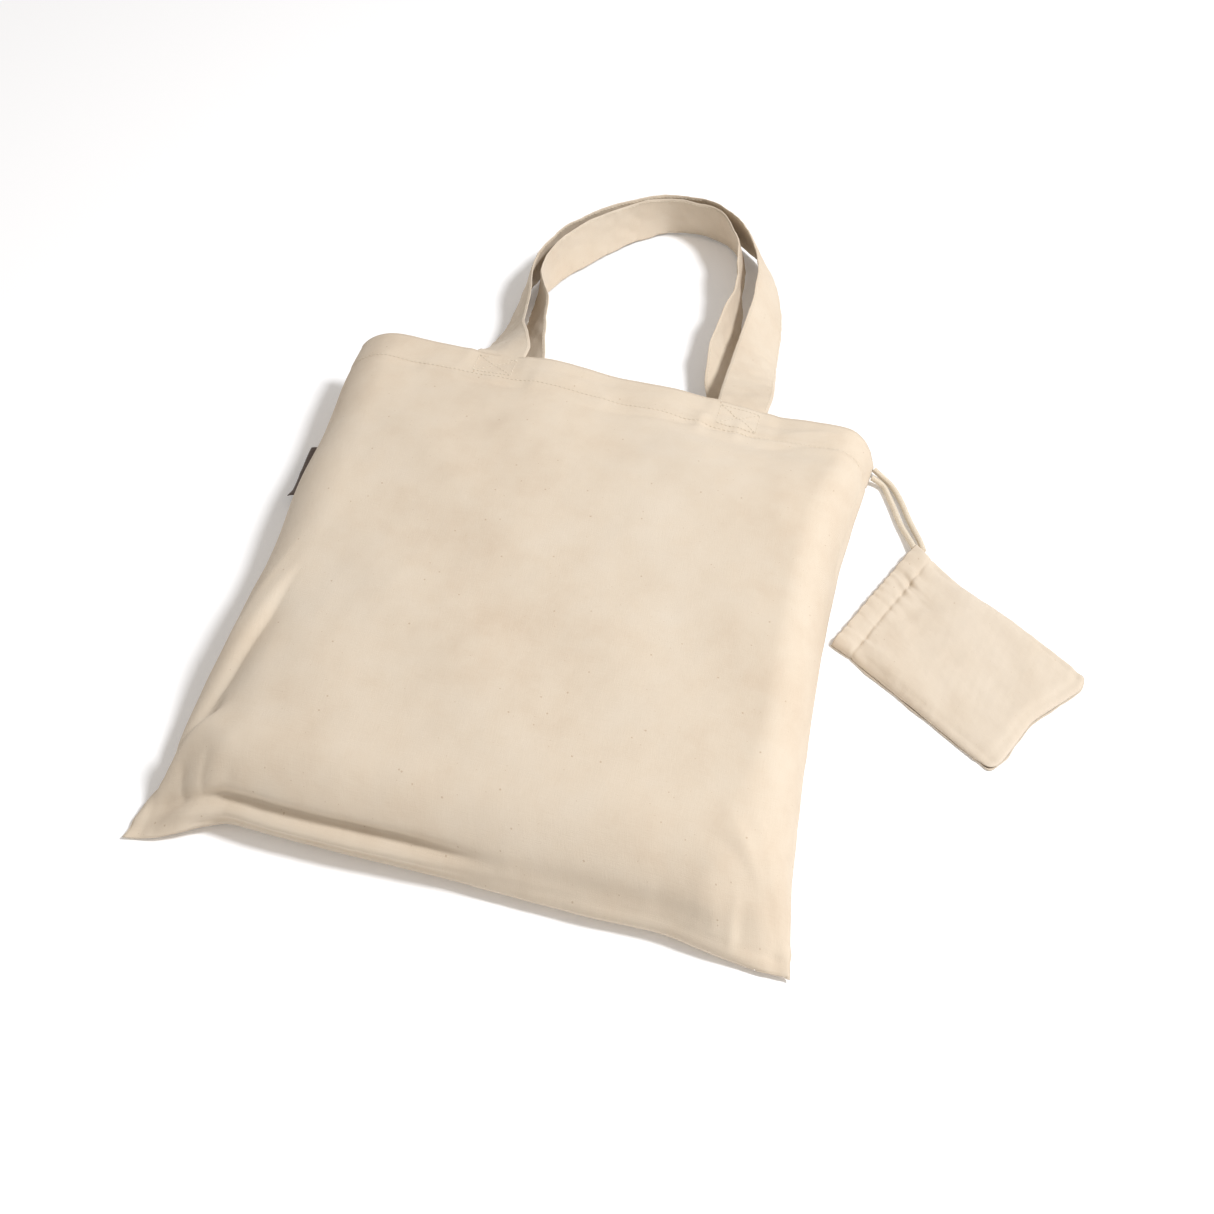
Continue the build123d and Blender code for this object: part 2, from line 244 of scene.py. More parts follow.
# ------------------------------------------------------------------ materials
def calico(name, base, dark, light, weave=0.42, flecks=1.0, mottle=1.0, bump=0.35, sheen=0.10):
    mat = bpy.data.materials.new(name)
    mat.use_nodes = True
    nt = mat.node_tree
    nt.nodes.clear()
    N = nt.nodes.new
    L = nt.links.new
    out = N("ShaderNodeOutputMaterial")
    bsdf = N("ShaderNodeBsdfPrincipled")
    L(bsdf.outputs[0], out.inputs[0])
    bsdf.inputs["Sheen Weight"].default_value = sheen
    bsdf.inputs["Sheen Roughness"].default_value = 0.6
    bsdf.inputs["Specular IOR Level"].default_value = 0.22
    uv = N("ShaderNodeUVMap")
    uv.uv_map = "cloth"
    geo = N("ShaderNodeTexCoord")

    def scaled(src, sx, sy, sz=1.0):
        mp = N("ShaderNodeMapping")
        mp.inputs["Scale"].default_value = (sx, sy, sz)
        L(src, mp.inputs["Vector"])
        return mp.outputs[0]

    def noise(src, scale, detail=3.0, rough=0.55, seed=0.0):
        n = N("ShaderNodeTexNoise")
        n.noise_dimensions = "4D"
        n.inputs["W"].default_value = seed
        n.inputs["Scale"].default_value = scale
        n.inputs["Detail"].default_value = detail
        n.inputs["Roughness"].default_value = rough
        L(src, n.inputs["Vector"])
        return n.outputs["Fac"]

    def math_(op, a, b=None, c=None):
        m = N("ShaderNodeMath")
        m.operation = op
        for k, v in enumerate((a, b, c)):
            if v is None:
                continue
            if isinstance(v, (int, float)):
                m.inputs[k].default_value = v
            else:
                L(v, m.inputs[k])
        return m.outputs[0]

    def ramp(src, stops):
        r = N("ShaderNodeValToRGB")
        e = r.color_ramp.elements
        e[0].position, e[0].color = stops[0]
        e[1].position, e[1].color = stops[-1]
        for p, c in stops[1:-1]:
            k = e.new(p)
            k.color = c
        L(src, r.inputs[0])
        return r.outputs[0]

    def mix(fac, a, b, mode="MIX"):
        m = N("ShaderNodeMix")
        m.data_type = "RGBA"
        m.blend_type = mode
        if isinstance(fac, (int, float)):
            m.inputs[0].default_value = fac
        else:
            L(fac, m.inputs[0])
        for k, v in ((6, a), (7, b)):
            if isinstance(v, tuple):
                m.inputs[k].default_value = v
            else:
                L(v, m.inputs[k])
        return m.outputs[2]

    # threads: two sets of waves, over and under each other
    sep = N("ShaderNodeSeparateXYZ")
    L(uv.outputs[0], sep.inputs[0])
    f = 1.0 / (weave * MM)
    wob = noise(scaled(uv.outputs[0], 60, 60), 6.0, 2.0)
    wx = math_("MULTIPLY_ADD", wob, 0.0012, sep.outputs[0])
    wy = math_("MULTIPLY_ADD", wob, -0.0012, sep.outputs[1])
    sx = math_("SINE", math_("MULTIPLY", wx, math.pi * f))
    sy = math_("SINE", math_("MULTIPLY", wy, math.pi * f))
    over = math_("MULTIPLY", sx, sy)
    thread = math_("ABSOLUTE", over)
    # slubs: thicker yarns now and then along both directions
    slub_x = noise(scaled(uv.outputs[0], 90, 1900), 1.0, 2.5, 0.6, 3.0)
    slub_y = noise(scaled(uv.outputs[0], 1900, 90), 1.0, 2.5, 0.6, 9.0)
    slub = math_("ADD", slub_x, slub_y)
    slub_c = ramp(math_("MULTIPLY", slub, 0.5), [(0.40, (0, 0, 0, 1)), (0.64, (1, 1, 1, 1))])
    # soft mottling of unbleached cotton
    big = noise(scaled(uv.outputs[0], 1, 1), 9.0, 4.0, 0.55, 1.0)
    mid = noise(scaled(uv.outputs[0], 1, 1), 42.0, 4.0, 0.6, 2.0)
    tone = math_("ADD", math_("MULTIPLY", big, 0.62), math_("MULTIPLY", mid, 0.38))
    col = ramp(
        tone,
        [(0.5 - 0.17 / mottle, (*dark, 1)), (0.5, (*base, 1)), (0.5 + 0.16 / mottle, (*light, 1))],
    )
    col = mix(math_("MULTIPLY", slub_c, 0.30), col, tuple(min(1, c * 1.05) for c in light) + (1,))
    # painted shade: the colour darkens towards a darker brown in the gaps between the threads
    gap = math_("SUBTRACT", 1.0, thread)
    col = mix(math_("MULTIPLY", math_("POWER", gap, 3.0), 0.16), col, tuple(c * 0.72 for c in dark) + (1,))
    # cotton-seed flecks, tiny, brown and sparse, in two sizes
    for k, (scale, cut, keep, strength) in enumerate(
        ((125.0, 0.075, 0.62, 0.42), (260.0, 0.095, 0.86, 0.34))
    ):
        v = N("ShaderNodeTexVoronoi")
        v.inputs["Scale"].default_value = scale
        v.inputs["Randomness"].default_value = 1.0
        L(scaled(uv.outputs[0], 1.0, 1.0 + 0.35 * k), v.inputs["Vector"])
        spot = math_("LESS_THAN", v.outputs["Distance"], cut)
        sel = N("ShaderNodeSeparateColor")
        L(v.outputs["Color"], sel.inputs[0])
        some = math_("GREATER_THAN", sel.outputs[0], keep)
        m = math_("MULTIPLY", math_("MULTIPLY", spot, some), strength * flecks)
        col = mix(m, col, (0.36, 0.22, 0.11, 1))
    # painted highlight: hems and ridges get a lighter colour where they are sharp and convex, as where they catch the
    # light
    gm = N("ShaderNodeNewGeometry")
    edge = ramp(gm.outputs["Pointiness"], [(0.52, (0, 0, 0, 1)), (0.62, (1, 1, 1, 1))])
    col = mix(math_("MULTIPLY", edge, 0.25), col, tuple(min(1, c * 1.06) for c in light) + (1,))
    L(col, bsdf.inputs["Base Color"])
    rough = math_("MULTIPLY_ADD", mid, 0.14, 0.80)
    L(rough, bsdf.inputs["Roughness"])
    # relief: weave, slubs and a fine crumple
    crumple = noise(scaled(uv.outputs[0], 1, 1), 120.0, 5.0, 0.62, 5.0)
    height = math_("ADD", math_("MULTIPLY", thread, 0.30), math_("MULTIPLY", slub_c, 0.35))
    height = math_("ADD", height, math_("MULTIPLY", crumple, 0.9))
    b = N("ShaderNodeBump")
    b.inputs["Strength"].default_value = bump
    b.inputs["Distance"].default_value = 0.0006
    L(height, b.inputs["Height"])
    L(b.outputs[0], bsdf.inputs["Normal"])
    return mat


def simple(name, base, dark, rough, scale, bump, sheen=0.2, stripes=None):
    mat = bpy.data.materials.new(name)
    mat.use_nodes = True
    nt = mat.node_tree
    bsdf = nt.nodes["Principled BSDF"]
    bsdf.inputs["Sheen Weight"].default_value = sheen
    bsdf.inputs["Specular IOR Level"].default_value = 0.25
    N, L = nt.nodes.new, nt.links.new
    uv = N("ShaderNodeUVMap")
    uv.uv_map = "cloth"
    n = N("ShaderNodeTexNoise")
    n.inputs["Scale"].default_value = scale
    n.inputs["Detail"].default_value = 4
    L(uv.outputs[0], n.inputs["Vector"])
    r = N("ShaderNodeValToRGB")
    r.color_ramp.elements[0].position = 0.36
    r.color_ramp.elements[0].color = (*dark, 1)
    r.color_ramp.elements[1].position = 0.66
    r.color_ramp.elements[1].color = (*base, 1)
    L(n.outputs["Fac"], r.inputs[0])
    L(r.outputs[0], bsdf.inputs["Base Color"])
    rr = N("ShaderNodeMath")
    rr.operation = "MULTIPLY_ADD"
    L(n.outputs["Fac"], rr.inputs[0])
    rr.inputs[1].default_value = 0.15
    rr.inputs[2].default_value = rough
    L(rr.outputs[0], bsdf.inputs["Roughness"])
    h = n.outputs["Fac"]
    if stripes:
        w = N("ShaderNodeTexWave")
        w.wave_type = "BANDS"
        w.bands_direction = "DIAGONAL"
        w.inputs["Scale"].default_value = stripes
        w.inputs["Distortion"].default_value = 0.6
        L(uv.outputs[0], w.inputs["Vector"])
        a = N("ShaderNodeMath")
        a.operation = "ADD"
        L(w.outputs["Fac"], a.inputs[0])
        L(n.outputs["Fac"], a.inputs[1])
        h = a.outputs[0]
    b = N("ShaderNodeBump")
    b.inputs["Strength"].default_value = bump
    b.inputs["Distance"].default_value = 0.0004
    L(h, b.inputs["Height"])
    L(b.outputs[0], bsdf.inputs["Normal"])
    return mat


BASE, DARK, LIGHT = (0.700, 0.592, 0.462), (0.645, 0.520, 0.388), (0.725, 0.630, 0.510)
mat_tote = calico("tote_calico", BASE, DARK, LIGHT)
mat_back = calico("tote_back_calico", BASE, DARK, LIGHT, mottle=1.1)
mat_strap = calico("strap_calico", BASE, DARK, LIGHT, flecks=0.8, bump=0.4)
mat_pouch = calico("pouch_calico", (0.685, 0.585, 0.465), (0.65, 0.54, 0.415), (0.71, 0.615, 0.50), flecks=0.7)
mat_thread = simple("sewing_thread", (0.78, 0.70, 0.58), (0.68, 0.59, 0.46), 0.55, 900, 0.3)
mat_cord = simple("cotton_cord", (0.74, 0.655, 0.53), (0.65, 0.555, 0.425), 0.78, 700, 0.5, 0.35)
mat_label = simple("woven_label", (0.165, 0.125, 0.105), (0.11, 0.082, 0.07), 0.5, 500, 0.5, 0.1, stripes=900)


def wear(ob, mat):
    ob.data.materials.clear()
    ob.data.materials.append(mat)
    return ob


# ------------------------------------------------------------------ the tote's two panels
left_x = [(-201, -187), (-190, -185.3), (-170, -181.5), (-150, -179.2), (-110, -176.8), (-60, -177.3),
          (-20, -179.3), (20, -182), (60, -185), (100, -188), (140, -189.5), (175, -190), (207, -189)]
left_z = [(-201, 1.0), (-185, 2.4), (-165, 5), (-120, 8.5), (0, 9), (90, 9), (130, 12), (170, 19), (207, 26)]
right_x = [(-201, 192), (-190, 189.2), (-170, 185.8), (-150, 183), (-120, 180.3), (-80, 177), (-40, 174.6),
           (0, 172.4), (50, 171), (90, 170.8), (130, 172.4), (170, 175), (207, 177.5)]
right_z = [(-201, 1.0), (-185, 2.4), (-160, 5.5), (-120, 8), (0, 8), (120, 7), (207, 4.5)]
bottom_y = [(-187, -201), (-170, -197.5), (-157, -192.5), (-145, -186.5), (-132, -182.5), (-100, -184.5),
            (-55, -186.5), (0, -188), (50, -190.6), (90, -192), (117, -191.6), (145, -195.6), (170, -198.6),
            (192, -201)]
bottom_z = [(-187, 1.0), (-172, 2.4), (-150, 7), (-120, 9.5), (0, 9), (90, 8), (125, 7), (160, 4), (192, 1.0)]
mouth_top = [(-192, 54), (-160, 56), (-125, 52), (-85, 50.5), (-50, 52), (-20, 49), (0, 46.5), (40, 44.5),
             (64, 42), (90, 37.5), (116, 34), (135, 34.5), (150, 35), (165, 34), (182, 33)]
MOUTH_Y = 207.0


def dome(X, Y, edges):
    """Height of the front panel above its seam line."""
    dL, dR, dB = edges
    m = sstep(95, 205, Y)
    mid = 57.0 - 4.5 * sstep(-60, -175, Y) - 3.0 * sstep(60, 170, np.abs(X + 5))
    mid = mid - 2.0 * np.exp(-(((X - 60) / 70) ** 2 + ((Y - 60) / 90) ** 2))
    top = mid * (1 - m) + smooth_interp(mouth_top, X) * m

    def quarter(d, r):
        t = np.clip(d / r, 0, 1)
        return np.sqrt(np.maximum(1 - (1 - t) ** 2.1, 0))

    low = 1 - sstep(-185, -70, Y)
    rL = 40 - 6 * m + 26 * low
    rR = 27 - 7 * m + 22 * low
    rB = 38 + 12 * sstep(-60, 120, X)
    E = quarter(dL, rL) * quarter(dR, rR) * quarter(dB, rB)
    # the corners are pinched flat where the two panels lie together
    for cx, cy, reach in ((-187, -201, 72), (192, -201, 60)):
        dc = np.hypot((X - cx), (Y - cy))
        E = E * (0.02 + 0.98 * sstep(4, reach, dc) ** 0.85)
    return top, E


def front_surface():
    nu, nv = 900, 900
    s = np.linspace(0, 1, nu)
    s = 0.5 - 0.5 * np.cos(math.pi * s) * (1 - 0.0) if False else s
    # crowd the samples at the edges, where the cloth is steep
    w = 0.5 * (1 - np.cos(math.pi * s))
    s = 0.35 * s + 0.65 * w
    t = np.linspace(0, 1, nv)
    t = 0.30 * t + 0.70 * (1 - (1 - t) ** 0.5) if False else t ** 1.7
    S, T = np.meshgrid(s, t)
    xb = -187 + S * (192 + 187)
    yb = smooth_interp(bottom_y, xb)
    Y = yb + (MOUTH_Y - yb) * T
    xl, xr = smooth_interp(left_x, Y), smooth_interp(right_x, Y)
    X = xl * (1 - S) + xr * S
    wt = np.exp(-((T / 0.05) ** 2))
    zb = smooth_interp(bottom_z, xb)
    zs = smooth_interp(left_z, Y) * (1 - S) + smooth_interp(right_z, Y) * S
    base = wt * zb + (1 - wt) * zs
    top, E = dome(X, Y, (X - xl, xr - X, Y - yb))
    Z = base + (np.maximum(top - base, 1.0)) * E
    return np.stack([X, Y, Z], axis=2)


NU, NV = 196, 220
F = even(even(front_surface(), 1, NU), 0, NV)
Nf = normals_of(F)
du = np.linalg.norm(np.diff(F, axis=1), axis=2)
dv = np.linalg.norm(np.diff(F, axis=0), axis=2)
U = np.zeros((NV, NU))
U[:, 1:] = np.cumsum(du, axis=1)
V = np.zeros((NV, NU))
V[1:] = np.cumsum(dv, axis=0)
eL, eR, eB, eM = U, U[:, -1:] - U, V, V[-1:] - V
X, Y, Z = F[..., 0], F[..., 1], F[..., 2]

disp = np.zeros((NV, NU))
free = sstep(0, 18, eL) * sstep(0, 18, eR) * sstep(0, 16, eB)
disp += 0.75 * waves(X, Y, 70, 170, 14, 11) * free
disp += 0.11 * waves(X, Y, 24, 60, 18, 12) * free
disp += 0.03 * waves(X, Y, 9, 20, 22, 13)
# soft diagonal drags across the top
for a, b, h, w in (
    ((-150, 150), (-60, 60), 1.1, 16), ((-120, 180), (40, 120), 0.8, 14), ((60, 190), (-10, 90), -0.7, 18),
    ((-140, 60), (-70, -60), 0.9, 20), ((120, 160), (150, 20), 0.8, 12), ((-30, -120), (120, -150), 0.9, 17),
    ((-150, -40), (-120, -140), -0.9, 16), ((-100, 120), (-30, 170), -0.7, 12),
):
    d, side, al = line_dist(X, Y, [a, b])
    disp += h * np.exp(-((d / w) ** 2)) * np.sin(math.pi * np.clip(al, 0, 1)) ** 0.8


def wander(n, step, mean, spread, rng):
    """A phase that runs on unevenly, for puckers that never quite repeat."""
    k = n // step + 2
    return np.interp(np.arange(n), np.arange(k) * step, np.cumsum(rng.normal(mean, spread, k)))


def ridge(pts, h, w_left, w_right, fade=(0.12, 0.12)):
    """A crease: a sharp crest with its own fall on each side of the line."""
    d, side, al = line_dist(X, Y, pts)
    w = np.where(side > 0, w_left, w_right)
    f = sstep(0, fade[0], al) * (1 - sstep(1 - fade[1], 1, al)) if fade else 1.0
    return h * np.exp(-((d / w) ** 1.35)) * f


# left side: a flap of cloth standing over a valley, then the ear's own crest
disp += ridge([(-186, -160), (-176, -118), (-166, -68), (-157, -12), (-152, 26)], 1.6, 9, 4.0, (0.2, 0.35))
disp -= ridge([(-174, -150), (-162, -108), (-150, -58), (-141, -8)], 6.8, 3.8, 20, (0.22, 0.4))
disp -= 2.2 * np.exp(-(((X + 118) / 30.0) ** 2)) * np.exp(-(((Y - 10) / 60.0) ** 2))
disp += ridge([(-187, -199), (-178, -176), (-163, -148), (-146, -124)], 3.4, 3.4, 9, (0.22, 0.3))
disp -= ridge([(-180, -180), (-171, -152), (-156, -124)], 1.8, 4, 4, (0.2, 0.3))
disp -= ridge([(-183, -172), (-170, -142), (-156, -116)], 3.0, 4, 5, (0.2, 0.3))
# small pinches above the bottom-left ear
disp -= ridge([(-158, -183), (-161, -170), (-163, -158)], 1.3, 3.0, 4.0, (0.15, 0.4))
disp -= ridge([(-146, -180), (-147, -168), (-147, -154)], 0.9, 2.6, 3.4, (0.15, 0.4))
# the bottom seam's ridge, with a hollow above it
band = np.exp(-(((X + 75) / 85.0) ** 4))
disp -= 7.0 * band * np.exp(-(((eB - 19.0) / 4.8) ** 2))
disp += 3.6 * band * np.exp(-(((eB - 9.5) / 3.6) ** 2))
disp -= 1.5 * band * np.exp(-(((eB - 3.0) / 3.0) ** 2))
d, side, al = line_dist(X, Y, [(190, -199), (160, -160), (138, -128)])
disp += 2.6 * np.exp(-((d / np.where(side > 0, 12.0, 5.0)) ** 1.5)) * sstep(0.05, 0.3, al) * (1 - sstep(0.6, 1, al))
# bottom right: long soft rolls into the pointed corner
disp -= 2.6 * np.exp(-(((X - 100) / 62.0) ** 4)) * np.exp(-(((eB - 17) / 9.0) ** 2))
disp += 1.4 * np.exp(-(((X - 120) / 55.0) ** 4)) * np.exp(-(((eB - 5.5) / 4.5) ** 2))
disp += ridge([(192, -200), (180, -178), (166, -150), (154, -118)], 2.6, 13, 9, (0.02, 0.4))
disp -= ridge([(186, -190), (171, -172), (150, -158), (126, -150)], 2.0, 9, 8, (0.1, 0.4))
disp += ridge([(158, -196), (157, -184), (155, -170)], 0.9, 2.6, 3.0, (0.05, 0.4))
disp -= ridge([(163, -197), (163, -186), (162, -174)], 0.8, 2.8, 2.6, (0.05, 0.4))
for k, (x0, y0, x1, y1, h) in enumerate((
    (176, -196, 164, -170, 0.9), (182, -194, 172, -166, -0.9), (170, -197, 152, -176, -0.8),
    (148, -194, 144, -178, 0.7), (136, -192, 133, -177, -0.7), (112, -190, 111, -178, 0.5),
    (-170, -194, -150, -176, 0.8), (-176, -190, -160, -168, -0.8), (30, -188, 32, -176, 0.4),
)):
    disp += ridge([(x0, y0), (x1, y1)], h * 0.55, 3.0, 3.6, (0.05, 0.5))
# puckers where the seams gather the cloth
r = np.random.default_rng(5)
ph = wander(NV, 6, 1.9, 0.8, r)
ph2 = wander(NU, 6, 1.9, 0.8, r)
disp += 0.34 * np.sin(ph)[:, None] * (np.exp(-(((eL - 6) / 6.0) ** 2)) + np.exp(-(((eR - 6) / 6.0) ** 2)))
disp += 0.17 * np.sin(ph2)[None, :] * np.exp(-(((eB - 6) / 6.5) ** 2))
# the seams: a firm ridge at the very edge with a shallow groove beside it
for e in (eL, eR, eB):
    disp += 0.55 * np.exp(-((e / 2.6) ** 2)) - 0.75 * np.exp(-(((e - 8.5) / 3.0) ** 2))
# the hem: two thicknesses more, a stitched valley below it and puckers through both
HEM = 25.0
disp += 0.38 * (1 - sstep(HEM - 3.2, HEM - 0.6, eM))
disp -= (0.45 + 0.45 * sstep(-150, 60, X)) * np.exp(-(((eM - HEM + 0.9) / 1.5) ** 2))
for a, b, h, w in (
    ((-20, 172), (150, 186), -1.5, 3.2), ((30, 192), (140, 197), -1.2, 2.8), ((60, 178), (165, 176), 1.1, 3.0),
    ((-110, 172), (-20, 178), -0.9, 3.4), ((100, 168), (172, 190), -1.0, 3.0), ((-95, 194), (-20, 188), 0.8, 3.0),
    ((-165, 176), (-110, 181), -0.7, 3.0), ((-60, 196), (20, 199), -0.8, 2.8), ((112, 186), (160, 199), 0.9, 2.6),
):
    d, side, al = line_dist(X, Y, [a, ((a[0] + b[0]) / 2, (a[1] + b[1]) / 2 + 1.6), b])
    disp += 1.45 * h * np.exp(-((d / w) ** 1.6)) * np.sin(math.pi * np.clip(al, 0, 1)) ** 0.8
ph3 = wander(NU, 4, 1.7, 0.9, r)
amp3 = 0.55 + 0.35 * waves(X, Y * 0, 40, 90, 8, 21)
disp += amp3 * 0.85 * np.sin(ph3)[None, :] * np.exp(-(((eM - HEM) / 9.0) ** 2))
disp += 0.8 * np.sin(ph3 * 0.5 + 1.0)[None, :] * np.exp(-(((eM - 6) / 14.0) ** 2)) * free
# soft valley just below the hem on the right, a roll above it
disp -= 1.6 * np.exp(-(((X - 95) / 60.0) ** 4)) * np.exp(-(((eM - 38) / 10.0) ** 2))
disp += 0.9 * np.exp(-(((X - 60) / 80.0) ** 4)) * np.exp(-(((eM - 13) / 6.0) ** 2))
disp -= 1.2 * np.exp(-(((X + 30) / 60.0) ** 4)) * np.exp(-(((eM - 36) / 9.0) ** 2))
# pulls where the straps are sewn on
for sx in (-85.0, 85.0):
    rr = np.hypot((X - sx) / 1.25, (Y - 180) / 0.9)
    disp -= 0.9 * np.exp(-((rr / 20.0) ** 2))
    disp += 0.55 * np.exp(-(((np.abs(X - sx) - 20) / 4.0) ** 2)) * np.exp(-((eM / 22.0) ** 2))
# the mask is all ones, so the displacement reaches the side edges too; the back panel is built from these displaced
# edges, so the two panels meet
keep = np.ones((NV, NU))
F = F + Nf * (disp * keep)[..., None]
F[..., 2] = np.maximum(F[..., 2], 0.9)
Nf = normals_of(F)
uvF = np.stack([U, V], axis=2)


def front_at(x, e_mouth):
    """A point and the outward normal on the front panel, e_mouth mm below the mouth's edge."""
    j = np.clip((NV - 1) - e_mouth / np.mean(dv[-6:]), 0, NV - 1.001)
    row = F[int(j)] * (1 - j % 1) + F[int(j) + 1] * (j % 1)
    nrow = Nf[int(j)]
    i = np.interp(x, row[:, 0], np.arange(NU))
    i0 = int(min(i, NU - 2))
    f = i - i0
    return row[i0] * (1 - f) + row[i0 + 1] * f, unit(nrow[i0] * (1 - f) + nrow[i0 + 1] * f)


front = grid_mesh("tote_front_cloth", F, uvF)
solidify(front, 0.55, -1.0)
wear(front, mat_tote)
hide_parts("tote_front_panel")
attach(front, "tote")

# the back panel meets the front panel along its left, right and bottom edges
Lb, Rb, Bb = F[:, 0].copy(), F[:, -1].copy(), F[0].copy()
xm = np.linspace(Lb[-1, 0], Rb[-1, 0], NU)
mouth_back = np.stack([xm, np.full(NU, MOUTH_Y - 1.5) + 0.8 * np.sin(xm / 31.0), np.zeros(NU)], axis=1)
mouth_back[0], mouth_back[-1] = Lb[-1], Rb[-1]
S, T = np.meshgrid(np.linspace(0, 1, NU), np.linspace(0, 1, NV))
S3, T3 = S[..., None], T[..., None]
Bk = (
    (1 - S3) * Lb[:, None] + S3 * Rb[:, None] + (1 - T3) * Bb[None] + T3 * mouth_back[None]
    - ((1 - S3) * (1 - T3) * Bb[0] + S3 * (1 - T3) * Bb[-1] + (1 - S3) * T3 * mouth_back[0] + S3 * T3 * mouth_back[-1])
)
dl = Bk[..., 0] - Lb[:, 0][:, None]
dr = Rb[:, 0][:, None] - Bk[..., 0]
db = Bk[..., 1] - Bb[:, 1][None]
zl, zr, zb = Lb[:, 2][:, None], Rb[:, 2][:, None], Bb[:, 2][None]


def curl(z, d):
    reach = 4.0 + z * 0.95
    return z * np.maximum(1 - d / reach, 0) ** 2


flat_z = 0.30 + 0.18 * (1 + waves(Bk[..., 0], Bk[..., 1], 40, 110, 12, 31) * 0.5)
inner = sstep(0, 14, dl) * sstep(0, 14, dr) * sstep(0, 14, db)
Bk[..., 2] = np.maximum.reduce([curl(zl, dl), curl(zr, dr), curl(zb, db), 0.5 + flat_z * inner, np.full(dl.shape, 0.56)])
# a few shallow folds lift off the surface inside
for a, b, h, w in (((-120, -80), (60, 40), 1.5, 9), ((-60, 130), (120, -60), 1.2, 8), ((-140, 110), (-40, 160), 1.4, 8)):
    d, side, al = line_dist(Bk[..., 0], Bk[..., 1], [a, b])
    Bk[..., 2] += h * np.exp(-((d / w) ** 2)) * np.sin(math.pi * al) * inner
back = grid_mesh("tote_back_cloth", Bk, None, flip=True)
solidify(back, 0.5, -1.0)
wear(back, mat_back)
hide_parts("tote_back_panel")
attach(back, "tote")


# ------------------------------------------------------------------ folded hems
def hem_band(name, edge_rows, normals, out_dir, node, gap=1.25):
    """A hem that starts at the panel's edge, rolls over it and runs back inside."""
    E, Nn = edge_rows[-1], normals[-1]
    lip = []
    for k in range(7):
        a = math.pi * k / 6
        c = gap / 2
        lip.append(E - Nn * (c - c * math.cos(a)) + out_dir * (c * 1.1 * math.sin(a)))
    rows = list(lip)
    for k in range(1, len(edge_rows)):
        rows.append(edge_rows[-1 - k] - normals[-1 - k] * gap)
    P = np.array(rows)
    P[..., 2] = np.maximum(P[..., 2], 0.35)
    ob = grid_mesh(name, P)
    solidify(ob, 0.4, 0.0)
    wear(ob, mat_tote)
    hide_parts(node)
    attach(ob, "tote")
    return ob


k_hem = int(round(HEM / np.mean(dv[-6:])))
out_f = unit(F[-1] - F[-3])
hem_front = hem_band("front_hem_fold", F[-k_hem:, 3:-3], Nf[-k_hem:, 3:-3], out_f[3:-3], "front_hem", 1.5)
Nb = normals_of(Bk)          # points up, into the bag
k_hb = int(round(HEM / np.mean(np.linalg.norm(np.diff(Bk[-6:], axis=0), axis=2))))
out_b = unit(Bk[-1] - Bk[-3])
hem_back = hem_band("back_hem_fold", Bk[-k_hb:, 4:-4], -Nb[-k_hb:, 4:-4], out_b[4:-4], "back_hem", 1.4)


# ------------------------------------------------------------------ seam allowances inside
def allowance(name, border, inner_front, inner_back, node, width=8.5):
    d = unit(unit(inner_front - border) + unit(inner_back - border))
    n = len(border)
    rows = []
    wv = 0.5 * np.sin(np.arange(n) * 0.9) + 0.4 * np.sin(np.arange(n) * 0.37 + 1)
    up = np.array([0, 0, 1.0])
    for e in np.linspace(0.9, width, 6):
        rows.append(border + d * e + up * (wv * 0.5 * e / width)[:, None])
    P = np.array(rows)
    P[..., 2] = np.maximum(P[..., 2], 0.8)
    ob = grid_mesh(name, P)
    solidify(ob, 0.9, 0.0)
    wear(ob, mat_back)
    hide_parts(node)
    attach(ob, "tote")
    return ob


lo, hi = 6, NV - 3
sl = allowance("left_seam_allowance", F[lo:hi, 0], F[lo:hi, 5], Bk[lo:hi, 5], "side_seam_left")
sr = allowance("right_seam_allowance", F[lo:hi, -1], F[lo:hi, -6], Bk[lo:hi, -6], "side_seam_right")
sb = allowance("bottom_seam_allowance", F[0, 8:-8], F[5, 8:-8], Bk[5, 8:-8], "bottom_seam")


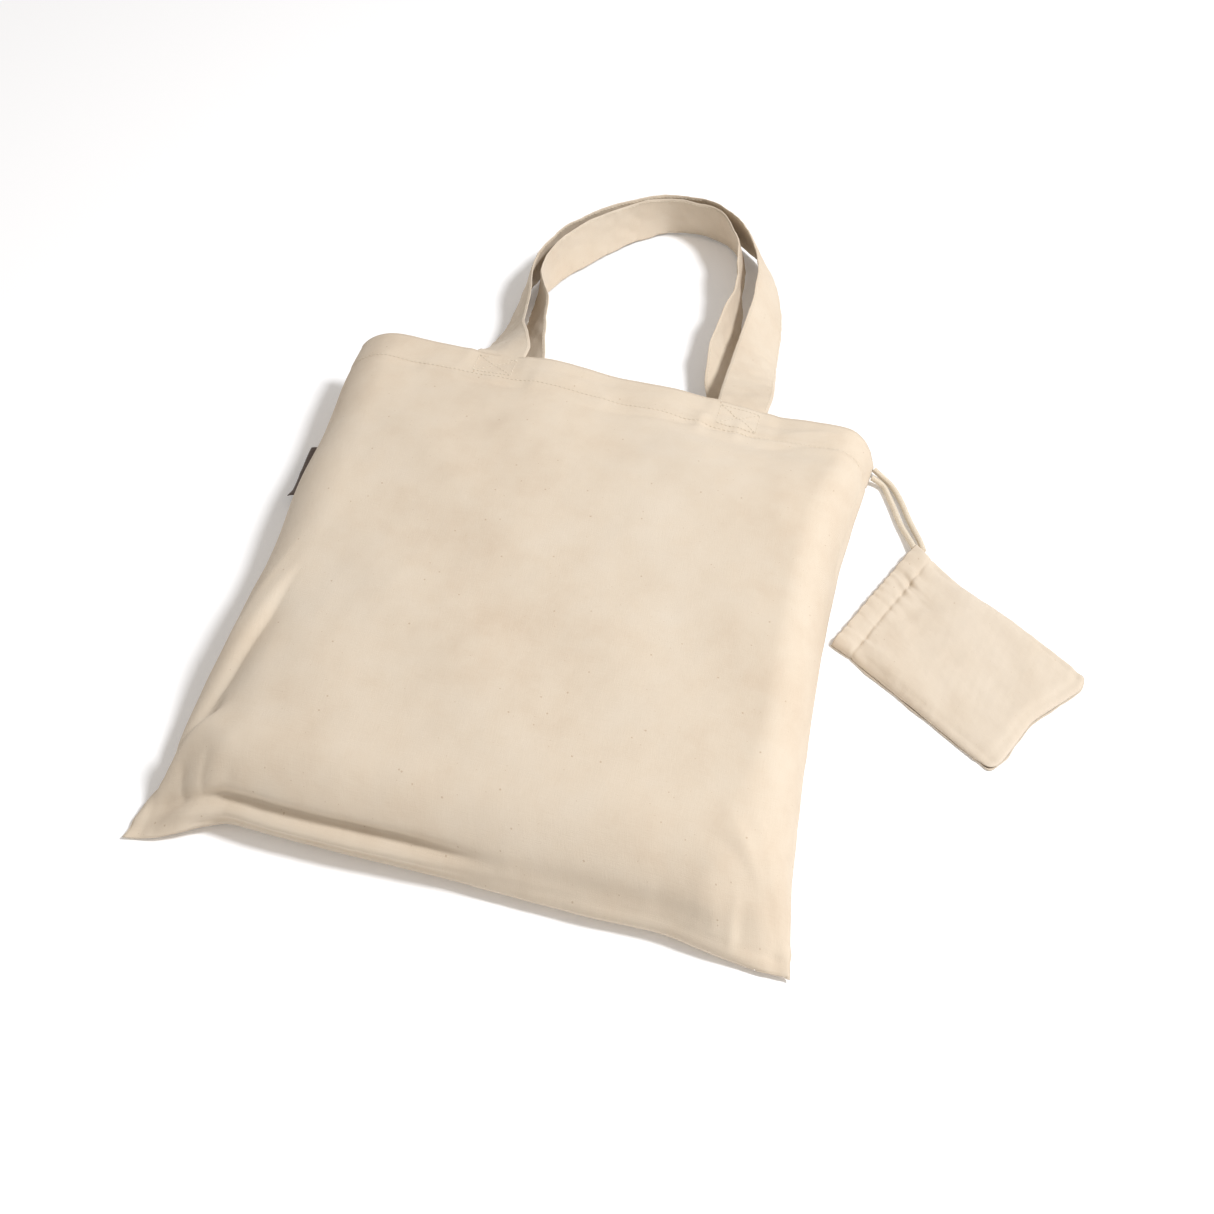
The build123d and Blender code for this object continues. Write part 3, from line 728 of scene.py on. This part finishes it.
# ------------------------------------------------------------------ stitches
def stitches(name, runs, mat, pitch=3.1, length=2.35, width=0.62, height=0.5, sink=0.1):
    """Rows of thread stitches: each is a small bead of thread bedded in the cloth.
    A run is a pair of arrays, the points and the outward normals."""
    verts, faces, uvs = [], [], []
    ring = 6
    prof = [(-1.0, 0.12), (-0.78, 0.72), (-0.35, 1.0), (0.35, 1.0), (0.78, 0.72), (1.0, 0.12)]
    rng = np.random.default_rng(abs(hash(name)) % 1000 if False else len(name) * 7 + 3)
    for pts, nrm in runs:
        pts, nrm = np.array(pts, float), np.array(nrm, float)
        s = np.concatenate([[0], np.cumsum(np.linalg.norm(np.diff(pts, axis=0), axis=1))])
        n = max(1, int(s[-1] // pitch))
        for k in range(n):
            c = (k + 0.5) * s[-1] / n
            a, b = c - length / 2, c + length / 2
            pa = np.array([np.interp(a, s, pts[:, q]) for q in range(3)])
            pb = np.array([np.interp(b, s, pts[:, q]) for q in range(3)])
            nn = unit(np.array([np.interp(c, s, nrm[:, q]) for q in range(3)]))
            t = unit(pb - pa)
            w = unit(np.cross(nn, t))
            mid = (pa + pb) / 2 + nn * (height * 0.5 - sink) + w * rng.normal(0, 0.05)
            half = np.linalg.norm(pb - pa) / 2
            start = len(verts)
            for x, r in prof:
                for q in range(ring):
                    an = 2 * math.pi * q / ring
                    p = (mid + t * (x * half) - nn * (0.16 * x * x)
                         + w * (math.cos(an) * r * width / 2) + nn * (math.sin(an) * r * height / 2))
                    verts.append(p * MM)
                    uvs.append((c * MM + x * half * MM, q / ring * 0.002))
            for m in range(len(prof) - 1):
                for q in range(ring):
                    a0 = start + m * ring + q
                    b0 = start + m * ring + (q + 1) % ring
                    faces.append((a0, b0, b0 + ring, a0 + ring))
            faces.append(tuple(start + q for q in range(ring))[::-1])
            faces.append(tuple(start + (len(prof) - 1) * ring + q for q in range(ring)))
    me = bpy.data.meshes.new(name)
    me.from_pydata([tuple(v) for v in verts], [], faces)
    layer = me.uv_layers.new(name="cloth")
    idx = np.zeros(len(me.loops), np.int32)
    me.loops.foreach_get("vertex_index", idx)
    layer.data.foreach_set("uv", np.array(uvs, np.float32)[idx].ravel())
    me.polygons.foreach_set("use_smooth", [True] * len(me.polygons))
    me.update()
    ob = bpy.data.objects.new(name, me)
    scene.collection.objects.link(ob)
    wear(ob, mat)
    return ob


def front_run(xs, es):
    p, n = zip(*[front_at(x, e) for x, e in zip(xs, es)])
    return np.array(p), np.array(n)


xs = np.linspace(-180, 170, 400)
hs = stitches("front_hem_stitches", [front_run(xs, np.full(400, HEM - 1.2))], mat_thread)
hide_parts("hem_stitch_front"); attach(hs, "tote")

row_b = -1 - int(round((HEM - 1.5) / 1.95))
pb_ = Bk[row_b, 8:-8] + np.array([0, 0, 1.75])
hb = stitches("back_hem_stitches", [(pb_, np.tile([0, 0, 1.0], (len(pb_), 1)))], mat_thread)
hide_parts("hem_stitch_back"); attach(hb, "tote")


def box_runs(cx, surf):
    w, d0, d1 = 13.5, 3.5, 21.0
    lines = [
        [(cx - w, d0), (cx + w, d0)], [(cx + w, d0), (cx + w, d1)], [(cx + w, d1), (cx - w, d1)],
        [(cx - w, d1), (cx - w, d0)], [(cx - w, d0), (cx + w, d1)], [(cx - w, d1), (cx + w, d0)],
    ]
    runs = []
    for (x0, e0), (x1, e1) in lines:
        k = np.linspace(0, 1, 24)
        runs.append(surf(x0 + (x1 - x0) * k, e0 + (e1 - e0) * k))
    return runs


def back_run(xs, es):
    p = np.array([[x, MOUTH_Y - 1.5 - e, 0] for x, e in zip(xs, es)], float)
    p[:, 2] = 0.45 + 1.9 + 1.55 + 0.35
    return p, np.tile([0, 0, 1.0], (len(p), 1))


for cx, side in ((-85.0, "left"), (85.0, "right")):
    o = stitches(f"front_box_stitches_{side}", box_runs(cx, front_run), mat_thread, pitch=2.7, length=2.1)
    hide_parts(f"box_stitch_front_{side}"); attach(o, "tote")
    o = stitches(f"back_box_stitches_{side}", box_runs(cx, back_run), mat_thread, pitch=2.7, length=2.1)
    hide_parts(f"box_stitch_back_{side}"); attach(o, "tote")


# ------------------------------------------------------------------ handles
STRAP_W, STRAP_T = 35.5, 1.5


def strap(name, low, high, nodes, seed):
    """A folded strap from its two edges: low and high are the matching points of each edge."""
    n = 330
    both = np.concatenate([np.array(low, float), np.array(high, float)], axis=1)
    mid = (both[:, :3] + both[:, 3:]) / 2
    path, length = catmull(np.concatenate([mid, both], axis=1), n)
    C = path[:, :3]
    W = unit(path[:, 6:9] - path[:, 3:6])
    Tn = unit(np.gradient(C, axis=0))
    W = unit(W - Tn * (W * Tn).sum(1, keepdims=True))
    Nn = np.cross(Tn, W)
    s = np.linspace(0, length, n)
    # cross-section: a flat folded band with firm stitched edges and a slight crown
    k = 22
    q = np.linspace(-1, 1, k)
    half = STRAP_W / 2
    th = STRAP_T / 2 * (1 - 0.28 * np.exp(-(((np.abs(q) - 0.86) / 0.05) ** 2)) + 0.10 * (1 - q * q))
    th = th * np.where(np.abs(q) > 0.999, 0.45, 1.0)
    upper = [(q[i] * half, th[i]) for i in range(k)]
    lower = [(q[i] * half, -th[i]) for i in range(k - 1, -1, -1)]
    sect = np.array(upper + [(half * 1.012, 0.0)] + lower + [(-half * 1.012, 0.0)])
    m = len(sect)
    P = C[:, None] + W[:, None] * sect[None, :, 0:1] + Nn[:, None] * sect[None, :, 1:2]
    # drags, cupping and puckers, the same on both faces so the thickness holds
    a = s[:, None]
    b = sect[None, :, 0]
    wrk = 0.34 * waves(a * 1.0, b * 0.7, 22, 60, 14, seed) + 0.16 * waves(a * 1.0, b * 1.0, 8, 18, 14, seed + 1)
    puck = 0.16 * np.sin(a / 1.35 + 2.0 * np.sin(a / 19.0)) * np.exp(-(((np.abs(b) - half * 0.86) / 2.6) ** 2))
    cup = 1.3 * waves(a, b * 0, 70, 160, 6, seed + 2) * ((b / half) ** 2 - 0.4)
    ends = sstep(0, 22, a) * sstep(0, 22, length - a)
    P = P + Nn[:, None] * ((wrk + puck + cup) * (0.15 + 0.85 * ends))[..., None]
    edge_wave = 0.35 * waves(a, b * 0, 14, 40, 8, seed + 3) * np.sign(b) * (np.abs(b) > half * 0.6)
    P = P + W[:, None] * (edge_wave * ends)[..., None]
    P[..., 2] = np.maximum(P[..., 2], 0.35)
    uv = np.stack([np.broadcast_to(b + 20 + 300 * 0, (n, m)), np.broadcast_to(a, (n, m))], axis=2)
    ob = grid_mesh(name, P, uv, wrap=True)
    # close the two ends
    import bmesh
    bm = bmesh.new()
    bm.from_mesh(ob.data)
    bm.verts.ensure_lookup_table()
    for ring in (range(m), range((n - 1) * m, n * m)):
        vs = [bm.verts[i] for i in ring]
        # quads across the flat section
        for i in range(k - 1):
            f = (vs[i], vs[i + 1], vs[2 * k - i - 1], vs[2 * k - i])
            try:
                bm.faces.new(f)
            except ValueError:
                pass
        for tri in ((vs[k - 1], vs[k], vs[k + 1]), (vs[0], vs[2 * k], vs[2 * k + 1])):
            try:
                bm.faces.new(tri)
            except ValueError:
                pass
    bmesh.ops.recalc_face_normals(bm, faces=bm.faces)
    bm.to_mesh(ob.data)
    bm.free()
    ob.data.polygons.foreach_set("use_smooth", [True] * len(ob.data.polygons))
    wear(ob, mat_strap)
    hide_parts(*nodes)
    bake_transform(ob)
    # edge stitching, on both faces
    runs = []
    keepers = slice(14, n - 14)
    for sgn in (-1, 1):
        i = int(np.argmin(np.abs(q - sgn * 0.86)))
        for top in (True, False):
            col = i if top else 2 * k - i
            runs.append((P[keepers, col], (Nn if top else -Nn)[keepers]))
    st = stitches(name + "_stitches", runs, mat_thread, pitch=3.0, length=2.3, width=0.5, height=0.42, sink=0.08)
    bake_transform(st)
    return ob, length


def under_front(x, e, drop):
    p, nn = front_at(x, e)
    return p - nn * drop


dropF = 2.6
fl_lo = [under_front(-102.5, 23, dropF), under_front(-102.5, 10, dropF), under_front(-103, 0.5, dropF)]
fl_hi = [under_front(-67.5, 23, dropF), under_front(-67.5, 10, dropF), under_front(-67.5, 0.5, dropF)]
fr_lo = [under_front(102.5, 0.5, dropF), under_front(102.5, 10, dropF), under_front(102.5, 23, dropF)]
fr_hi = [under_front(67.5, 0.5, dropF), under_front(67.5, 10, dropF), under_front(67.5, 23, dropF)]
outer_low = fl_lo + [
    (-99, 217, 44), (-105, 238, 30), (-110, 265, 10), (-109, 300, 2.4), (-106, 342, 2), (-96, 382, 2),
    (-79, 410, 2), (-53, 435, 2), (-25, 452, 2), (-3, 457, 2), (22, 453, 2), (45, 441, 2), (65, 418, 2),
    (80, 388, 2), (89, 352, 2), (95, 315, 3), (98, 280, 11), (101, 248, 25), (103, 222, 34),
] + fr_lo
outer_high = fl_hi + [
    (-68, 214, 52), (-76, 232, 48), (-84, 258, 39), (-90, 298, 33.5), (-98, 338, 36), (-92, 377, 37),
    (-75, 406, 37.5), (-50, 429, 37.5), (-24, 444, 37.5), (-3, 449, 37.5), (19, 445, 37.5), (38, 431, 37.5),
    (53, 407, 37), (63, 378, 36), (66, 349, 33), (66, 315, 30), (66, 280, 30), (66.5, 248, 33), (67, 222, 36.5),
] + fr_hi

zb0 = 2.9
bl_lo = [(-102.5, 183, zb0), (-102.5, 195, zb0), (-102.5, 206, zb0)]
bl_hi = [(-67.5, 183, zb0), (-67.5, 195, zb0), (-67.5, 206, zb0)]
br_lo = [(102.5, 206, zb0), (102.5, 195, zb0), (102.5, 183, zb0)]
br_hi = [(67.5, 206, zb0), (67.5, 195, zb0), (67.5, 183, zb0)]
inner_low = bl_lo + [
    (-101, 222, 2.2), (-98, 243, 1.6), (-96, 268, 1.6), (-95, 302, 1.6), (-94, 334, 1.8), (-86, 366, 2),
    (-68, 394, 2), (-55, 414, 2), (-38, 434, 2), (-15, 449, 2), (8, 449, 2), (32, 438, 2), (49, 412, 2),
    (53, 380, 2), (58, 352, 2), (62, 322, 2), (69, 288, 1.8), (80, 255, 1.6), (96, 226, 2.2),
] + br_lo
inner_high = bl_hi + [
    (-66.5, 226, 6), (-65, 245, 16), (-69, 264, 27), (-77, 299, 33), (-90, 333, 36), (-87, 367, 36.5),
    (-74, 395, 37), (-58, 413, 37), (-42, 429, 37), (-20, 441.5, 37), (6, 441.5, 37), (27, 431, 37), (43, 405, 36),
    (50, 374, 35), (53, 345, 32), (50, 318, 28), (49, 286, 22), (54, 255, 14), (64, 230, 6),
] + br_hi

s_out, len_out = strap(
    "front_strap", outer_low, outer_high, ["front_handle", "front_strap_end_left", "front_strap_end_right"],
    41,
)
s_in, len_in = strap(
    "back_strap", inner_low, inner_high, ["back_handle", "back_strap_end_left", "back_strap_end_right"],
    61,
)


# ------------------------------------------------------------------ side label
def label():
    n, m = 60, 26
    a = np.linspace(0, 1, n)
    top = np.array(F[:, 0])
    yy = 128 - 46 * a
    sx = np.interp(yy, top[:, 1], top[:, 0])
    sz = np.interp(yy, top[:, 1], top[:, 2])
    rows = []
    for j in range(m):
        t = j / (m - 1)                       # along the folded tape: out on top, back underneath
        u = 1 - abs(2 * t - 1)
        out = 8.6 * math.sin(u * math.pi / 2) ** 0.9
        lift = 0.62 * math.cos(math.pi * t) * (0.55 + 0.45 * u)
        droop = -2.2 * u ** 1.6
        wave = 0.7 * np.sin(a * 5.2 + 0.6) * u + 0.5 * u * np.exp(-(((a - 0.52) / 0.05) ** 2))
        flare = 1.5 * sstep(0.86, 1.0, a) * u
        root = np.minimum(sx - 0.2, -188.0)
        rows.append(np.stack([root - out - flare, yy - 1.2 * u * a, 0.45 * sz + 4.9 + lift + droop + wave], axis=1))
    P = np.array(rows)
    P[..., 2] = np.maximum(P[..., 2], 1.0)
    ob = grid_mesh("folded_side_label", P)
    solidify(ob, 0.32, 0.0)
    wear(ob, mat_label)
    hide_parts("side_label")
    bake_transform(ob)
    return ob


lab = label()


# ------------------------------------------------------------------ drawcord
strand_a = [(0.1790, 0.2040, 0.0050), (0.1870, 0.1992, 0.0024), (0.1935, 0.1930, 0.0022), (0.2010, 0.1800, 0.0022),
            (0.2080, 0.1635, 0.0022), (0.2145, 0.1505, 0.0028), (0.2190, 0.1405, 0.0041), (0.2210, 0.1345, 0.0042)]
strand_b = [(0.1785, 0.1955, 0.0050), (0.1870, 0.1932, 0.0024), (0.1908, 0.1854, 0.0022), (0.1968, 0.1725, 0.0022),
            (0.2028, 0.1580, 0.0022), (0.2085, 0.1480, 0.0028), (0.2140, 0.1375, 0.0041), (0.2165, 0.1320, 0.0042)]


def nurbs_line(pts):
    cu = bpy.data.curves.new("route", "CURVE")
    cu.dimensions = "3D"
    sp = cu.splines.new("NURBS")
    sp.points.add(len(pts) - 1)
    for p, q in zip(sp.points, pts):
        p.co = (*q, 1)
    sp.order_u = 3
    sp.use_endpoint_u = True
    cu.resolution_u = 24
    tmp = bpy.data.objects.new("route", cu)
    me = bpy.data.meshes.new_from_object(tmp)
    line = np.array([v.co for v in me.vertices], float)
    bpy.data.meshes.remove(me)
    bpy.data.objects.remove(tmp)
    bpy.data.curves.remove(cu)
    return line


def braid(name, pts, nodes, phase):
    """A soft round braid: the tube's surface rises where its plaits cross over."""
    line = nurbs_line(pts) / MM
    s = np.concatenate([[0], np.cumsum(np.linalg.norm(np.diff(line, axis=0), axis=1))])
    n = int(s[-1] / 0.28)
    at = np.linspace(0, s[-1], n)
    C = np.stack([np.interp(at, s, line[:, k]) for k in range(3)], axis=1)
    ker = np.ones(9) / 9
    for k in range(3):
        pad = np.pad(C[:, k], 4, mode="reflect", reflect_type="odd")
        C[:, k] = np.convolve(pad, ker, "valid")
    Tn = unit(np.gradient(C, axis=0))
    up = np.array([0, 0, 1.0])
    W = unit(np.cross(Tn, up))
    Nn = np.cross(W, Tn)
    m = 36
    ang = np.linspace(0, 2 * math.pi, m, endpoint=False)
    A, B = np.meshgrid(at, ang, indexing="ij")
    turn = 2 * math.pi * A / 7.5
    p1 = np.sin(4 * (B + turn) + phase)
    p2 = np.sin(4 * (B - turn) + phase)
    relief = np.maximum(p1, p2) * 0.14 + 0.03 * waves(A, B * 4, 3, 9, 12, 77)
    R = 1.90 + relief * 0.85
    P = C[:, None] + W[:, None] * (np.cos(B) * R)[..., None] + Nn[:, None] * (np.sin(B) * R)[..., None]
    P[..., 2] = np.maximum(P[..., 2], 0.12)
    uv = np.stack([B * 2.0, A], axis=2)
    ob = grid_mesh(name, P, uv, wrap=True)
    me = ob.data
    # close both ends with a small fan
    import bmesh
    bm = bmesh.new()
    bm.from_mesh(me)
    bm.verts.ensure_lookup_table()
    for ring, c in ((range(m), C[0]), (range((n - 1) * m, n * m), C[-1])):
        vs = [bm.verts[i] for i in ring]
        cv = bm.verts.new(tuple(c * MM))
        bm.verts.ensure_lookup_table()
        for i in range(m):
            bm.faces.new((vs[i], vs[(i + 1) % m], cv))
    bmesh.ops.recalc_face_normals(bm, faces=bm.faces)
    bm.to_mesh(me)
    bm.free()
    me.polygons.foreach_set("use_smooth", [True] * len(me.polygons))
    wear(ob, mat_cord)
    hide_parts(*nodes)
    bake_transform(ob)
    return ob, C * MM, float(s[-1]) * MM


ca, path_a, la = braid("drawcord_a", strand_a, ["drawcord_strand_a"], 0.3)
cb, path_b, lb = braid("drawcord_b", strand_b, ["drawcord_strand_b"], 1.1)


# ------------------------------------------------------------------ pouch
PT, PL, PB, PR = (np.array(p, float) for p in ((216.5, 139.5), (176.5, 41), (281.5, -36), (332.5, 49)))
PW, PH = 92, 124


def pouch_plan(S, T):
    """S from T to L across the mouth, T from the mouth to the closed end."""
    # rounded closed-end corners, and a soft waist on the long sides
    c = 0.030 * np.abs(2 * S - 1) ** 12
    notch = 0.046 * np.maximum(0, 1 - np.sqrt(((S - 0.53) / 0.42) ** 2 + 0.004)) * T ** 4
    Tt = T * (1 - c * T ** 3 - notch)
    Ss = 0.5 + (S - 0.5) * (1 - 0.020 * np.sin(math.pi * np.clip(T, 0, 1)) - 0.03 * T ** 16)
    Ss = Ss + 0.040 * np.exp(-(((T - 0.27) / 0.20) ** 2)) * (1 - S) ** 2
    P = (
        PT[None, None] * ((1 - Ss) * (1 - Tt))[..., None] + PL[None, None] * (Ss * (1 - Tt))[..., None]
        + PR[None, None] * ((1 - Ss) * Tt)[..., None] + PB[None, None] * (Ss * Tt)[..., None]
    )
    return P


CAS = 15.5
s = np.linspace(0, 1, 420)
s = 0.4 * s + 0.6 * 0.5 * (1 - np.cos(math.pi * s))
t = np.linspace(0, 1, 520)
S, T = np.meshgrid(s, t)
P2 = pouch_plan(S, T)
W_, H_ = 100.0, 134.0
eS0, eS1, eT0, eT1 = S * W_, (1 - S) * W_, T * H_, (1 - T) * H_


def q4(d, r):
    k = np.clip(d / r, 0, 1)
    return np.sqrt(np.maximum(1 - (1 - k) ** 2, 0))


Hp = 7.2 * (0.62 + 0.38 * np.exp(-(((eT0 - 55) / 45.0) ** 2)))
Ep = q4(eS0, 13) * q4(eS1, 11) * q4(eT1, 13)
Zp = 1.5 + (Hp - 1.0) * Ep
# casing: fuller at the mouth, closed at the two ends by the gathers
cas = 1 - sstep(CAS - 3, CAS + 2.5, eT0)
Zp = Zp * (1 - cas) + cas * (1.5 + (4.9 + 1.6 * np.exp(-((eS0 / 12.0) ** 2))) * q4(eS0, 3.5) * q4(eS1, 7) * (0.80 + 0.20 * np.sin(math.pi * np.clip(eT0 / CAS, 0, 1))))
PF = np.concatenate([P2, Zp[..., None]], axis=2)
PF = even(even(PF, 1, 112), 0, 146)
Np = normals_of(PF)
if Np[60, 50, 2] < 0:
    Np = -Np
su = np.zeros(PF.shape[:2]); su[:, 1:] = np.cumsum(np.linalg.norm(np.diff(PF, axis=1), axis=2), axis=1)
sv = np.zeros(PF.shape[:2]); sv[1:] = np.cumsum(np.linalg.norm(np.diff(PF, axis=0), axis=2), axis=0)
e0, e1, eb = su, su[:, -1:] - su, sv[-1:] - sv
inn = sstep(0, 9, e0) * sstep(0, 9, e1) * sstep(0, 9, eb)
dp = 0.55 * waves(su, sv, 38, 90, 12, 91) * inn + 0.16 * waves(su, sv, 12, 30, 16, 92) * inn + 0.04 * waves(su, sv, 4, 9, 16, 93)
rg = np.random.default_rng(17)
nuP = PF.shape[1]
pp = wander(nuP, 3, 1.75, 0.75, rg)
gather = np.exp(-(((sv - CAS) / 7.5) ** 2))
dp += 0.95 * np.sin(pp)[None, :] * gather * (0.6 + 0.4 * waves(su, sv * 0, 20, 45, 6, 94))
dp += 0.35 * np.sin(pp * 0.5 + 0.7)[None, :] * np.exp(-(((sv - CAS - 14) / 14.0) ** 2))
dp -= 0.75 * np.exp(-(((sv - CAS) / 1.5) ** 2))
dp += 0.4 * np.sin(pp * 1.3 + 2)[None, :] * np.exp(-((sv / 6.0) ** 2)) * inn
for e in (e0, e1, eb):
    dp += 0.35 * np.exp(-((e / 2.0) ** 2)) - 0.42 * np.exp(-(((e - 6) / 2.2) ** 2))
npv = PF.shape[0]
pq = wander(npv, 4, 1.7, 0.7, rg)
dp += 0.20 * np.sin(pq)[:, None] * (np.exp(-(((e0 - 5) / 4.0) ** 2)) + np.exp(-(((e1 - 5) / 4.0) ** 2)))
# a soft hollow and two folds across the middle of the pouch, as it lies
for a, b, h, w in (((52, 30), (20, 60), 0.8, 6), ((70, 25), (30, 34), -0.7, 5), ((60, 70), (25, 110), 0.6, 9)):
    d, side, al = line_dist(su, sv, [a, b])
    dp += h * np.exp(-((d / w) ** 2)) * np.sin(math.pi * al)
PF = PF + Np * dp[..., None]
PF[..., 2] = np.maximum(PF[..., 2], 1.35)
pf = grid_mesh("pouch_front_cloth", PF, np.stack([su, sv], axis=2), flip=True)
solidify(pf, 0.5, -1.0)
wear(pf, mat_pouch)
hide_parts("pouch_front_panel", "pouch_casing_front", "pouch_casing_side_near", "pouch_casing_side_far")
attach(pf, "pouch")

# the back panel shows a thin edge below the front one
PBk = PF.copy()
centre = PF.mean(axis=(0, 1))
PBk[..., 2] = 0
edge_d = np.minimum(np.minimum(e0, e1), eb)
PBk[..., 2] = np.maximum(1.25 * np.exp(-((edge_d / 3.5) ** 2)), 0.58 + 0.1 * (1 + waves(su, sv, 15, 40, 10, 95)) * 0.5)
grow = np.exp(-((edge_d / 5.0) ** 2))
outd = unit(np.stack([PF[..., 0] - centre[0], PF[..., 1] - centre[1], np.zeros(PF.shape[:2])], axis=2))
PBk = PBk + outd * (grow * (0.9 + 0.5 * waves(su, sv, 14, 40, 8, 96)))[..., None]
pb = grid_mesh("pouch_back_cloth", PBk, np.stack([su, sv], axis=2))
solidify(pb, 0.5, -1.0)
wear(pb, mat_pouch)
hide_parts("pouch_back_panel", "pouch_casing_back")
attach(pb, "pouch")

jc = int(np.argmin(np.abs(sv[:, nuP // 2] - CAS)))
Np2 = normals_of(PF)
if Np2[60, 50, 2] < 0:
    Np2 = -Np2
ps = stitches("pouch_casing_stitches", [(PF[jc, 3:-3], Np2[jc, 3:-3])], mat_thread, pitch=2.7, length=2.0, width=0.5, height=0.4)
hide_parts("pouch_casing_stitch")
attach(ps, "pouch")

# the cord inside the casing shows only at the mouth's two ends
run = [tuple((PF[6, i] * np.array([1, 1, 0]) + np.array([0, 0, 3.1])) * MM) for i in (9, 26, 48, 70, 88, 100)]
nrm_line = np.array(run)
cc = nurbs_line(run) / MM
cm = len(cc)
Tn = unit(np.gradient(cc, axis=0)); W = unit(np.cross(Tn, np.array([0, 0, 1.0]))); Nn = np.cross(W, Tn)
ang = np.linspace(0, 2 * math.pi, 20, endpoint=False)
Pc = cc[:, None] + W[:, None] * (1.7 * np.cos(ang))[None, :, None] + Nn[:, None] * (1.7 * np.sin(ang))[None, :, None]
co = grid_mesh("casing_cord", Pc, None, wrap=True)
wear(co, mat_cord)
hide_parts("pouch_casing_cord")
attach(co, "pouch")

# bar tack over the drawcord at the tote's seam
ti = int(np.argmin(np.abs(F[:, -1, 1] - 197)))
tp = F[ti - 3: ti + 4, -2] + np.array([0, 0, 0.3])
tack = stitches("drawcord_bar_tack", [(tp + np.array([-0.5 * k, 0, 0.1 * k]), np.tile([0.6, 0, 0.8], (7, 1))) for k in range(4)],
                mat_thread, pitch=2.2, length=2.4)
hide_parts("cord_tack")
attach(tack, "tote")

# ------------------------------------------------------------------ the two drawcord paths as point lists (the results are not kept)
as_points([tuple(p) for p in path_a[::6]] + [tuple(path_a[-1])])
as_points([tuple(p) for p in path_b[::6]] + [tuple(path_b[-1])])


# ------------------------------------------------------------------ floor and light
def stage_set():
    me = bpy.data.meshes.new("floor")
    e = 6.0
    me.from_pydata([(-e, -e, -0.0002), (e, -e, -0.0002), (e, e, -0.0002), (-e, e, -0.0002)], [], [(0, 1, 2, 3)])
    ob = bpy.data.objects.new("floor", me)
    scene.collection.objects.link(ob)
    m = bpy.data.materials.new("floor_paper")
    m.use_nodes = True
    b = m.node_tree.nodes["Principled BSDF"]
    b.inputs["Base Color"].default_value = (0.97, 0.97, 0.975, 1)
    b.inputs["Roughness"].default_value = 0.9
    b.inputs["Specular IOR Level"].default_value = 0.1
    b.inputs["Emission Color"].default_value = (1, 1, 1, 1)
    b.inputs["Emission Strength"].default_value = 0.07
    me.materials.append(m)
    w = bpy.data.worlds.new("studio")
    scene.world = w
    w.use_nodes = True
    bg = w.node_tree.nodes["Background"]
    bg.inputs[0].default_value = (1.0, 0.958, 0.915, 1)
    bg.inputs[1].default_value = 0.50
    scene.view_settings.view_transform = "Standard"

    def area(name, loc, aim, size, power, color):
        la = bpy.data.lights.new(name, "AREA")
        la.shape = "DISK"
        la.size = size
        la.energy = power
        la.color = color
        o = bpy.data.objects.new(name, la)
        o.location = loc
        d = Vector(aim) - Vector(loc)
        o.rotation_euler = d.to_track_quat("-Z", "Y").to_euler()
        scene.collection.objects.link(o)

    area("key", (1.65, 0.10, 2.25), (0.0, 0.0, 0.0), 0.55, 65.0, (0.985, 1.0, 1.03))


stage_set()
